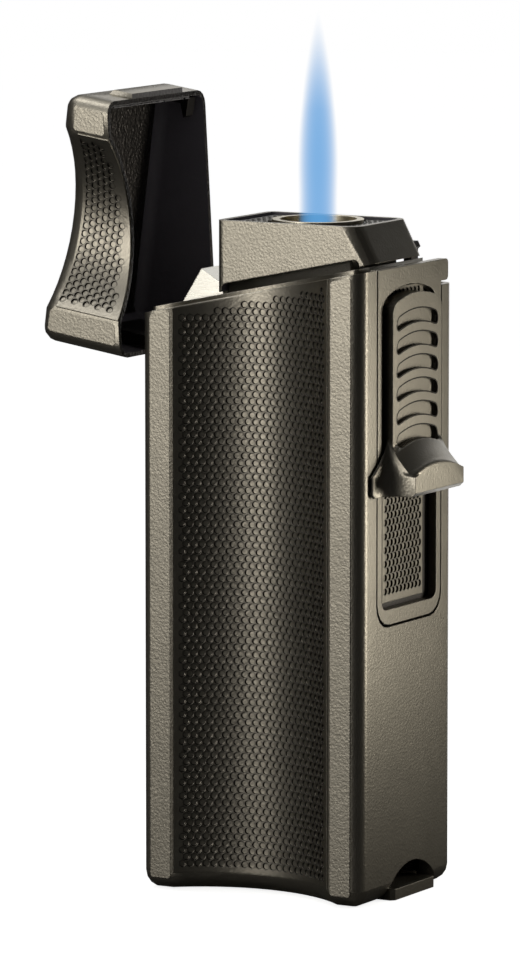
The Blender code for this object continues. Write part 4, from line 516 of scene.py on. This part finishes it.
class TORCH_OT_finishes(bpy.types.Operator):
    """Make the finishes and put one on every CAD node"""
    bl_idname = "torch.finishes"
    bl_label = "Finishes"

    def execute(self, context):
        choice = settings().finish
        case = cast_metal("satin_gunmetal", choice.case_colour, choice.case_roughness, grain=0.5,
                          grain_size=4600.0, bump=0.026 * MM)
        dark = cast_metal("blackened_metal", choice.dark_colour, 0.42, grain=0.3)
        pale = cast_metal("pale_brass", choice.ring_colour, 0.33, grain=0.2)
        bright = turned_metal("bright_nickel", (0.66, 0.64, 0.58), 0.28)
        steel = turned_metal("spring_steel", (0.55, 0.55, 0.56), 0.3)
        cast_metal("inner_paint", (0.11, 0.10, 0.115), 0.55, grain=0.5, metallic=0.0)
        cast_metal("sparkling_rim", (0.12, 0.11, 0.10), 0.34, grain=0.9, grain_size=3400.0,
                   bump=0.06 * MM)
        # painted shade: near black for the dimples' walls and the pockets' edges, where shade falls
        cast_metal("painted_recess_shade", (0.035, 0.032, 0.028), 0.45, grain=0.3)
        # painted shade: a darker tone for the land between the dimples
        cast_metal("painted_land_shade", (0.20, 0.185, 0.155), 0.38, grain=0.3)
        # painted highlight: pale metal for the bead along the rim's front edge
        cast_metal("painted_rim_highlight", (0.62, 0.58, 0.49), 0.30, grain=0.3)
        resin = moulded("black_resin", (0.03, 0.03, 0.033), 0.5)
        tank = moulded("tank_resin", (0.62, 0.63, 0.60), 0.35, clear=0.35)
        rubber = moulded("seal_rubber", (0.02, 0.02, 0.02), 0.7)
        groups = {
            case: "case_shell lid_shell side_plate thumb_slider torch_head top_deck base_plate punch_arm",
            dark: "track_plate screen_plate lid_hinge_plate lid_catch lid_latch",
            pale: ("burner_ring burner_nozzle filler_valve_body flame_adjuster outlet_valve_body valve_stem "
                   "mixing_tube"),
            bright: "hinge_block punch_cutter filler_stem valve_lever",
            steel: ("hinge_pin lid_spring latch_pin punch_pin base_screw_1 base_screw_2 lever_pin "
                    "spark_electrode slider_spring"),
            resin: "inner_frame ignition_wire piezo_housing piezo_plunger slider_carriage",
            tank: "fuel_tank",
            rubber: "filler_seal_ring gas_hose",
        }
        for material, names in groups.items():
            for name in names.split():
                node = frame["nodes"][name]
                node.data.materials.clear()
                node.data.materials.append(material)
        return {"FINISHED"}


def paint_insides(obj, centre, mouth):
    """Give a hollow piece's inner faces, and the rim round its mouth, finishes of their own."""
    mesh = obj.data
    mesh.materials.append(finish_named("inner_paint"))
    mesh.materials.append(finish_named("sparkling_rim"))
    for face in mesh.polygons:
        if face.normal.dot(mouth) > MOUTH_FACING:
            face.material_index = 2
        elif face.normal.dot(centre - face.center) > 0:
            face.material_index = 1


class TORCH_OT_skins(bpy.types.Operator):
    """Show the outer nodes with smooth curved faces"""
    bl_idname = "torch.skins"
    bl_label = "Smooth skins"

    def execute(self, context):
        for name in SKINNED:
            source = frame["nodes"][name]
            bm = bmesh.new()
            bm.from_mesh(source.data)
            bmesh.ops.remove_doubles(bm, verts=bm.verts, dist=SKIN_MERGE)
            bmesh.ops.dissolve_limit(bm, angle_limit=math.radians(SKIN_FLAT_DEGREES), verts=bm.verts,
                                     edges=bm.edges)
            skin = finish_object(name + "_skin", bm, source.data.materials[0], source["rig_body"],
                                 SKIN_SHARP_DEGREES)
            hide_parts(name)
            flat = skin.modifiers.new("flat_faces", "WEIGHTED_NORMAL")
            flat.weight = 100
            flat.keep_sharp = True
            if name in PAINTED:
                centre, mouth = PAINTED[name]
                paint_insides(skin, centre, mouth)
        return {"FINISHED"}


class TORCH_OT_return_spring(bpy.types.Operator):
    """A smooth copy of the slider's return spring, with a mesh of its own; on the real torch the spring gets
    shorter as the slider goes down
    """
    bl_idname = "torch.return_spring"
    bl_label = "Return spring"

    def execute(self, context):
        source = frame["nodes"]["slider_spring"]
        bm = bmesh.new()
        bm.from_mesh(source.data)
        bmesh.ops.remove_doubles(bm, verts=bm.verts, dist=SKIN_MERGE)
        skin = finish_object("slider_spring_skin", bm, source.data.materials[0], source["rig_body"],
                             SKIN_SHARP_DEGREES)
        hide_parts("slider_spring")
        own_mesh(skin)
        return {"FINISHED"}


class TORCH_OT_front_panel(bpy.types.Operator):
    """Lay the dimpled sheet on the concave front of the case"""
    bl_idname = "torch.front_panel"
    bl_label = "Front panel"

    def execute(self, context):
        size = settings().dimples
        half = PANEL_HALF
        bottom = PANEL_BOTTOM_Z
        proud = size.depth + SHEET_LIFT

        def top(s):
            return rim_z(SCOOP_RADIUS * math.sin(s / SCOOP_RADIUS)) - PANEL_UNDER_RIM

        def inside(s, z):
            return abs(s) < half + 2 * size.pitch and bottom - 2 * size.pitch < z < top(s) + 2 * size.pitch

        def dimpled(s, z):
            return (abs(s) < half - size.margin
                    and bottom + PANEL_FOOT_MARGIN < z < top(s) - size.margin - RIM_MARGIN)

        bm = honeycomb(inside, dimpled, (-half, bottom), (half, rim_z(HALF_X)), size.pitch, size.depth,
                       size.radius)
        trim_sheet(bm, (half, 0), (1, 0))
        trim_sheet(bm, (-half, 0), (-1, 0))
        trim_sheet(bm, (0, bottom), (0, -1))
        cut_to_rim(bm, top)
        skirt(bm, proud)
        wrap_on_scoop(bm, proud)
        dimple_sheet("front_dimples", bm, "case")
        return {"FINISHED"}


class TORCH_OT_lid_panel(bpy.types.Operator):
    """Lay the dimpled sheet on the concave front of the lid"""
    bl_idname = "torch.lid_panel"
    bl_label = "Lid panel"

    def execute(self, context):
        size = settings().dimples
        half = PANEL_HALF
        high = LID_PANEL_TOP_Z
        proud = size.depth + SHEET_LIFT

        def low(s):
            return rim_z(SCOOP_RADIUS * math.sin(s / SCOOP_RADIUS)) + LID_PANEL_OVER_RIM

        def inside(s, z):
            return abs(s) < half + 2 * size.pitch and low(s) - 2 * size.pitch < z < high + 2 * size.pitch

        def dimpled(s, z):
            return (abs(s) < half - size.margin
                    and low(s) + size.margin + RIM_MARGIN < z < high - LID_HEAD_MARGIN)

        bm = honeycomb(inside, dimpled, (-half, rim_z(-HALF_X)), (half, high), size.pitch, size.depth,
                       size.radius)
        trim_sheet(bm, (half, 0), (1, 0))
        trim_sheet(bm, (-half, 0), (-1, 0))
        trim_sheet(bm, (0, high), (0, 1))
        cut_to_rim(bm, low, above=False)
        skirt(bm, proud)
        wrap_on_scoop(bm, proud)
        open_with_lid(bm)
        dimple_sheet("lid_dimples", bm, "lid")
        return {"FINISHED"}


def flat_strip(side, low, high, cut):
    """One flat strip beside a scooped front, between two heights that depend on x, with its corners cut."""
    near, far = STRIP_NEAR, STRIP_FAR
    outline = [(near, low(near)), (far, low(far)), (far, high(far)), (near, high(near))]
    bm = bmesh.new()
    verts = []
    for k, corner in enumerate(outline):
        here = Vector(corner)
        for other in (outline[k - 1], outline[(k + 1) % 4]):
            verts.append(here + (Vector(other) - here).normalized() * cut)
    verts = [bm.verts.new((side * v.x, v.y, 0)) for v in verts]
    bm.faces.new(verts)
    skirt(bm, STRIP_SKIRT)
    bmesh.ops.edgeloop_fill(bm, edges=[edge for edge in bm.edges if edge.is_boundary])
    for vert in bm.verts:
        vert.co = (vert.co.x, -HALF_Y - STRIP_PROUD - vert.co.z, vert.co.y)
    return bm


class TORCH_OT_flat_strips(bpy.types.Operator):
    """Crisp flat strips beside the scooped fronts of the case and the lid"""
    bl_idname = "torch.flat_strips"
    bl_label = "Flat strips"

    def execute(self, context):
        satin = finish_named("satin_gunmetal")
        for side, word in ((-1, "left"), (1, "right")):
            bm = flat_strip(side, lambda x: CASE_STRIP_FOOT_Z,
                            lambda x: rim_z(side * x) - CASE_STRIP_UNDER_RIM, CASE_STRIP_CUT)
            finish_object(f"case_strip_{word}", bm, satin, "case", SHEET_SHARP_DEGREES)
            bm = flat_strip(side, lambda x: rim_z(side * x) + LID_STRIP_OVER_RIM,
                            lambda x: LID_STRIP_TOP_Z, LID_STRIP_CUT)
            open_with_lid(bm)
            finish_object(f"lid_strip_{word}", bm, satin, "lid", SHEET_SHARP_DEGREES)
        return {"FINISHED"}


def tube(points, radius, sides=6):
    """A round bead along a row of points, its ends closed."""
    bm = bmesh.new()
    rings = []
    for k, point in enumerate(points):
        along = (points[min(k + 1, len(points) - 1)] - points[max(k - 1, 0)]).normalized()
        across = along.cross(Vector((0, 0, 1))).normalized()
        up = across.cross(along)
        rings.append([bm.verts.new(point + radius * (math.cos(2 * math.pi * i / sides) * across
                                                     + math.sin(2 * math.pi * i / sides) * up))
                      for i in range(sides)])
    for first, second in zip(rings, rings[1:]):
        for i in range(sides):
            bm.faces.new((first[i], first[(i + 1) % sides], second[(i + 1) % sides], second[i]))
    bm.faces.new(rings[0])
    bm.faces.new(rings[-1])
    return bm


class TORCH_OT_rim_edge(bpy.types.Operator):
    """A pale bead along the front of the case's rim: a painted highlight"""
    bl_idname = "torch.rim_edge"
    bl_label = "Rim edge"

    def execute(self, context):
        points = []
        for k in range(BEAD_STEPS + 1):
            x = (2 * k / BEAD_STEPS - 1) * BEAD_HALF
            y = -HALF_Y
            if abs(x) < SCOOP_HALF:
                y = SCOOP_CENTRE_Y + math.sqrt(SCOOP_RADIUS ** 2 - x ** 2)
            points.append(Vector((x, y + BEAD_BEHIND_FRONT, rim_z(x) - BEAD_UNDER_RIM)))
        finish_object("case_rim_edge", tube(points, BEAD_RADIUS), finish_named("painted_rim_highlight"), "case",
                      BEAD_SHARP_DEGREES)
        return {"FINISHED"}


def pocket_outline(top):
    """Outline of one finger pocket in (y, z), as the slider's pockets are cut."""
    bottom = top - POCKET_HEIGHT
    corner = POCKET_CORNER
    points = []
    for side_y, side_z, start in ((1, -1, -90), (1, 1, 0), (-1, 1, 90), (-1, -1, 180)):
        middle_z = bottom + corner if side_z < 0 else top - corner
        for k in range(5):
            angle = math.radians(start + 90 * k / 4)
            points.append((side_y * (POCKET_HALF - corner) + corner * math.cos(angle),
                           middle_z + corner * math.sin(angle)))
        if start in (0, 180):
            edge = top if start == 0 else bottom
            for k in range(1, 8):
                y = (POCKET_HALF - corner) * (1 - k / 4) * (1 if start == 0 else -1)
                points.append((y, edge))
    return [Vector((SIDE_Y + y, z - ARCH_RADIUS + math.sqrt(ARCH_RADIUS ** 2 - y ** 2))) for y, z in points]


class TORCH_OT_pocket_shade_lines(bpy.types.Operator):
    """Thin lines of painted shade round the slider's finger pockets, where the pockets' walls fall in shade
    """
    bl_idname = "torch.pocket_lines"
    bl_label = "Pocket lines"

    def execute(self, context):
        bm = bmesh.new()
        for number in range(POCKET_COUNT):
            outline = pocket_outline(FIRST_POCKET_Z - number * POCKET_PITCH)
            count = len(outline)
            bands = []
            for k in range(count):
                along = (outline[(k + 1) % count] - outline[k - 1]).normalized()
                aside = Vector((along.y, -along.x)) * POCKET_SHADE_WIDTH / 2
                bands.append([bm.verts.new((SLIDER_FACE_X + SHEET_LIFT, *(outline[k] + way * aside)))
                              for way in (-1, 1)])
            for k in range(count):
                here, there = bands[k], bands[(k + 1) % count]
                bm.faces.new((here[0], here[1], there[1], there[0]))
        # the lines are painted shade, in the dimples' wall finish
        finish_object("pocket_lines", bm, finish_named("painted_recess_shade"), "slider",
                      BEAD_SHARP_DEGREES)
        return {"FINISHED"}


class TORCH_OT_track_land(bpy.types.Operator):
    """Lay the raised dimpled land in the slider's track"""
    bl_idname = "torch.track_land"
    bl_label = "Track land"

    def execute(self, context):
        size = settings().dimples
        pitch = size.pitch

        def inside(s, z):
            return abs(s) < LAND_HALF + 2 * pitch and LAND_LOW_Z - 2 * pitch < z < LAND_HIGH_Z + 2 * pitch

        def dimpled(s, z):
            return (abs(s) < LAND_HALF - LAND_SIDE_MARGIN
                    and LAND_LOW_Z + LAND_END_MARGIN < z < LAND_HIGH_Z - LAND_END_MARGIN)

        low, high = (-LAND_HALF, LAND_LOW_Z), (LAND_HALF, LAND_HIGH_Z)
        bm = honeycomb(inside, dimpled, low, high, pitch, size.depth, size.radius)
        trim_box(bm, low, high)
        skirt(bm, LAND_RISE)
        for vert in bm.verts:
            s, z, height = vert.co
            vert.co = (TRACK_X + LAND_RISE + height, SIDE_Y + s, z)
        dimple_sheet("track_dimples", bm, "case")
        return {"FINISHED"}


class TORCH_OT_screen_dots(bpy.types.Operator):
    """Lay the dotted sheet on the sunken plate round the burner ring"""
    bl_idname = "torch.screen_dots"
    bl_label = "Screen dots"

    def execute(self, context):
        low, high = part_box("screen_plate")
        ring_low, ring_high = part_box("burner_ring")
        middle = (ring_low.x + ring_high.x) / 2
        ring_radius = (ring_high.x - ring_low.x) / 2
        low_x, low_y = low.x + SCREEN_MARGIN, low.y + SCREEN_MARGIN
        high_x, high_y = high.x - SCREEN_MARGIN, high.y - SCREEN_MARGIN
        pitch = SCREEN_PITCH

        def inside(x, y):
            return (low_x - pitch < x < high_x + pitch and low_y - pitch < y < high_y + pitch
                    and math.hypot(x - middle, y) > ring_radius + SCREEN_RING_GAP)

        def dimpled(x, y):
            return (low_x + SCREEN_MARGIN < x < high_x - SCREEN_MARGIN
                    and low_y + SCREEN_MARGIN < y < high_y - SCREEN_MARGIN)

        bm = honeycomb(inside, dimpled, (low_x, low_y), (high_x, high_y), pitch, SCREEN_DEPTH, SCREEN_DOT)
        trim_box(bm, (low_x, low_y), (high_x, high_y))
        skirt(bm, SCREEN_DEPTH + SHEET_LIFT)
        bmesh.ops.translate(bm, vec=(0, 0, high.z + SCREEN_DEPTH + SHEET_LIFT), verts=bm.verts)
        sheet = finish_object("screen_dots", bm, finish_named("blackened_metal"), "case",
                              SHEET_SHARP_DEGREES)
        # the dots' walls and the land between them take painted shade
        add_painted_dimple_shade(sheet)
        return {"FINISHED"}


class TORCH_OT_studio(bpy.types.Operator):
    """Set the floor, the softboxes, the plain white surround and the camera"""
    bl_idname = "torch.studio"
    bl_label = "Studio"

    def execute(self, context):
        power = settings().studio
        make_floor()
        make_world()
        make_flame()
        softbox("key_softbox", azimuth=-21, height=0.14, distance=0.55, size=(0.19, 0.28),
                power=power.key_power, colour=(1.0, 0.97, 0.91))
        softbox("side_softbox", azimuth=125, height=0.042, distance=0.106, size=(0.024, 0.06),
                power=power.side_power, colour=(1.0, 0.96, 0.87))
        softbox("top_softbox", azimuth=-70, height=0.42, distance=0.20, size=(0.12, 0.20),
                power=power.top_power, colour=(1.0, 1.0, 1.0))
        standing_card("right_card", start=-4, end=172, high=5.0, grey=0.10)
        standing_card("left_card", start=-40, end=-150, high=1.2, grey=0.30)
        lying_card("floor_card", start=-150, end=172, grey=0.10)
        make_camera()
        return {"FINISHED"}


def shows_backdrop(tree):
    """1 for the rays that see the white surround: the camera's, and those in metal and glass."""
    path = tree.nodes.new("ShaderNodeLightPath")
    total = path.outputs["Is Camera Ray"]
    for ray in ("Is Glossy Ray", "Is Transmission Ray"):
        most = tree.nodes.new("ShaderNodeMath")
        most.operation = "MAXIMUM"
        tree.links.new(total, most.inputs[0])
        tree.links.new(path.outputs[ray], most.inputs[1])
        total = most.outputs["Value"]
    return total


def make_matt(shader, grey):
    """Turn a shader plain matt grey."""
    shader.inputs["Base Color"].default_value = (grey, grey, grey, 1)
    shader.inputs["Roughness"].default_value = 1.0
    shader.inputs["Specular IOR Level"].default_value = 0.0


def stage_card(name, bm, grey):
    """A matt card that darkens reflections and that the camera doesn't see."""
    card = new_object(name, bm)
    material, tree, shader = new_material(name + "_cloth")
    make_matt(shader, grey)
    card.data.materials.append(material)
    card.visible_camera = False
    card.visible_diffuse = False
    card.visible_shadow = False


def card_arc(start, end):
    """Points on the cards' circle between two azimuths."""
    for k in range(CARD_STEPS + 1):
        angle = math.radians(start + (end - start) * k / CARD_STEPS)
        yield CARD_DISTANCE * math.sin(angle), -CARD_DISTANCE * math.cos(angle)


def standing_card(name, start, end, high, grey):
    """A curved card that stands between two azimuths."""
    bm = bmesh.new()
    rows = [(bm.verts.new((x, y, 0)), bm.verts.new((x, y, high))) for x, y in card_arc(start, end)]
    for first, second in zip(rows, rows[1:]):
        bm.faces.new((first[0], second[0], second[1], first[1]))
    stage_card(name, bm, grey)


def lying_card(name, start, end, grey):
    """A fan of card on the floor between two azimuths."""
    bm = bmesh.new()
    middle = bm.verts.new((0, 0, CARD_LIFT))
    rim = [bm.verts.new((x, y, CARD_LIFT)) for x, y in card_arc(start, end)]
    for first, second in zip(rim, rim[1:]):
        bm.faces.new((middle, first, second))
    stage_card(name, bm, grey)


def make_floor():
    """A plain pale floor that shows as the white surround, with a faint shadow."""
    bm = bmesh.new()
    bmesh.ops.create_circle(bm, cap_ends=True, segments=64, radius=FLOOR_RADIUS)
    bmesh.ops.translate(bm, vec=(0, 0, FLOOR_Z), verts=bm.verts)
    floor = new_object("floor", bm)
    material, tree, shader = new_material("floor_white")
    make_matt(shader, FLOOR_GREY)
    shader.inputs["Emission Color"].default_value = (1, 1, 1, 1)
    glow = mix_value(tree, shows_backdrop(tree), 0.0, FLOOR_GLOW)
    tree.links.new(glow, shader.inputs["Emission Strength"])
    floor.data.materials.append(material)


def make_flame():
    """The soft blue jet over the burner, which isn't part of the torch and burns while the lid is at rest.

    Places are read in the lid's frame as well. Once they differ from the still ones, the flame is out.
    """
    low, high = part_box("burner_ring")
    foot = Vector(((low.x + high.x) / 2, 0, low.z))
    bm = bmesh.new()
    bmesh.ops.create_cone(bm, cap_ends=True, segments=24, radius1=FLAME_RADIUS, radius2=FLAME_RADIUS,
                          depth=FLAME_LENGTH)
    bmesh.ops.translate(bm, vec=foot + Vector((0, 0, FLAME_LENGTH / 2)), verts=bm.verts)
    flame = new_object("flame", bm)
    for ray in ("diffuse", "glossy", "transmission", "shadow"):
        setattr(flame, "visible_" + ray, False)
    material, tree, shader = new_material("flame_gas")
    tree.nodes.remove(shader)
    link = tree.links.new

    def calculate(operation, first, second=None):
        node = tree.nodes.new("ShaderNodeMath")
        node.operation = operation
        for socket, value in zip(node.inputs, (first, second)):
            if isinstance(value, (int, float)):
                socket.default_value = value
            elif value is not None:
                link(value, socket)
        return node.outputs["Value"]

    place = add(tree, "ShaderNodeNewGeometry").outputs["Position"]
    split = tree.nodes.new("ShaderNodeSeparateXYZ")
    link(place, split.inputs["Vector"])
    along = calculate("MULTIPLY", calculate("SUBTRACT", split.outputs["Z"], foot.z), 1 / FLAME_LENGTH)
    x = calculate("SUBTRACT", split.outputs["X"], foot.x)
    reach = calculate("SQRT", calculate("ADD", calculate("MULTIPLY", x, x),
                                        calculate("MULTIPLY", split.outputs["Y"], split.outputs["Y"])))
    waist = tree.nodes.new("ShaderNodeFloatCurve")
    for at, share in FLAME_WAIST[1:-1]:
        waist.mapping.curves[0].points.new(at, share)
    waist.mapping.curves[0].points[0].location = FLAME_WAIST[0]
    waist.mapping.curves[0].points[-1].location = FLAME_WAIST[-1]
    link(along, waist.inputs["Value"])
    share = calculate("DIVIDE", reach, calculate("MULTIPLY", waist.outputs["Value"], FLAME_RADIUS))
    body = calculate("SUBTRACT", 1.0, calculate("MULTIPLY", share, share))
    body = calculate("MAXIMUM", body, 0.0)
    fade = add(tree, "ShaderNodeMapRange", From_Min=1.0, From_Max=FLAME_FADE_FROM)
    link(along, fade.inputs["Value"])
    density = calculate("MULTIPLY", calculate("MULTIPLY", body, fade.outputs["Result"]), FLAME_DENSITY)
    lid_place = add(tree, "ShaderNodeTexCoord", _object=frame["bodies"]["lid"]).outputs["Object"]
    apart = tree.nodes.new("ShaderNodeVectorMath")
    apart.operation = "DISTANCE"
    link(place, apart.inputs[0])
    link(lid_place, apart.inputs[1])
    burning = calculate("LESS_THAN", apart.outputs["Value"], FLAME_LID_TRAVEL)
    density = calculate("MULTIPLY", density, burning)
    gas = add(tree, "ShaderNodeVolumeAbsorption", Color=(0, 0, 0, 1))
    glow = add(tree, "ShaderNodeEmission", Color=(*FLAME_COLOUR, 1))
    both = tree.nodes.new("ShaderNodeAddShader")
    link(density, gas.inputs["Density"])
    link(density, glow.inputs["Strength"])
    link(gas.outputs["Volume"], both.inputs[0])
    link(glow.outputs["Emission"], both.inputs[1])
    link(both.outputs["Shader"], tree.nodes["Material Output"].inputs["Volume"])
    flame.data.materials.append(material)


def make_world():
    """White to the camera, to metal and to glass, and a dim grey room that lights the rest."""
    world = bpy.data.worlds.new("studio")
    bpy.context.scene.world = world
    world.use_nodes = True
    tree = world.node_tree
    room = tree.nodes["Background"]
    room.inputs["Color"].default_value = (ROOM_GREY, ROOM_GREY, ROOM_GREY, 1)
    white = add(tree, "ShaderNodeBackground", Strength=1.0, Color=(1, 1, 1, 1))
    mix = tree.nodes.new("ShaderNodeMixShader")
    tree.links.new(shows_backdrop(tree), mix.inputs["Fac"])
    tree.links.new(room.outputs["Background"], mix.inputs[1])
    tree.links.new(white.outputs["Background"], mix.inputs[2])
    tree.links.new(mix.outputs["Shader"], tree.nodes["World Output"].inputs["Surface"])


def softbox(name, azimuth, height, distance, size, power, colour):
    """An area light that stands round the torch at an azimuth and looks at its middle."""
    light = bpy.data.lights.new(name, "AREA")
    light.shape = "RECTANGLE"
    light.size, light.size_y = size
    light.energy = power
    light.color = colour
    lamp = bpy.data.objects.new(name, light)
    bpy.context.scene.collection.objects.link(lamp)
    angle = math.radians(azimuth)
    lamp.location = (distance * math.sin(angle), -distance * math.cos(angle), height)
    aim = Vector((0, 0, AIM_Z)) - lamp.location
    lamp.rotation_euler = aim.to_track_quat("-Z", "Y").to_euler()
    lamp.visible_camera = False


def make_camera():
    """The long lens that matches the photo's view."""
    turn, tip = VIEW_TURN, VIEW_TIP
    right = Vector((math.cos(turn), math.sin(turn), 0))
    back = Vector((math.sin(turn) * math.cos(tip), -math.cos(turn) * math.cos(tip), math.sin(tip)))
    up = back.cross(right)
    camera = bpy.data.cameras.new("camera")
    camera.lens = VIEW_FOCAL * VIEW_SENSOR / VIEW_PIXELS
    camera.sensor_width = VIEW_SENSOR
    camera.clip_start = 0.01
    camera.clip_end = 10
    holder = bpy.data.objects.new("camera", camera)
    bpy.context.scene.collection.objects.link(holder)
    place = Vector((0, 0, VIEW_AIM)) + VIEW_DISTANCE * back + VIEW_RIGHT * right + VIEW_UP * up
    rotation = Matrix((right, up, back)).transposed().to_4x4()
    holder.matrix_world = Matrix.Translation(place * MM) @ rotation
    bpy.context.scene.camera = holder
    bpy.context.scene.view_settings.view_transform = "Standard"


class TORCH_PT_panel(bpy.types.Panel):
    """Sidebar panel with the dressing steps"""
    bl_idname = "TORCH_PT_panel"
    bl_label = "Torch"
    bl_space_type = "VIEW_3D"
    bl_region_type = "UI"
    bl_category = "Torch"

    def draw(self, context):
        for group in (settings().finish, settings().dimples, settings().studio):
            box = self.layout.box()
            for key in group.__annotations__:
                box.prop(group, key)
        for step in STEPS:
            self.layout.operator(step.bl_idname)


STEPS = (TORCH_OT_finishes, TORCH_OT_skins, TORCH_OT_return_spring, TORCH_OT_front_panel,
         TORCH_OT_lid_panel, TORCH_OT_flat_strips, TORCH_OT_rim_edge, TORCH_OT_track_land,
         TORCH_OT_pocket_shade_lines, TORCH_OT_screen_dots, TORCH_OT_studio)
GROUPS = (FinishSettings, DimpleSettings, StudioSettings, TorchSettings)


def register():
    for cls in GROUPS + STEPS + (TORCH_PT_panel,):
        bpy.utils.register_class(cls)
    bpy.types.Scene.torch_settings = PointerProperty(type=TorchSettings)


def unregister():
    del bpy.types.Scene.torch_settings
    for cls in reversed(GROUPS + STEPS + (TORCH_PT_panel,)):
        bpy.utils.unregister_class(cls)


def main():
    """Dress the torch, step by step."""
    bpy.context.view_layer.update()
    register()
    bpy.ops.torch.finishes()
    bpy.ops.torch.skins()
    bpy.ops.torch.return_spring()
    bpy.ops.torch.front_panel()
    bpy.ops.torch.lid_panel()
    bpy.ops.torch.flat_strips()
    bpy.ops.torch.rim_edge()
    bpy.ops.torch.track_land()
    bpy.ops.torch.pocket_lines()
    bpy.ops.torch.screen_dots()
    bpy.ops.torch.studio()


if __name__ == "__main__":
    main()
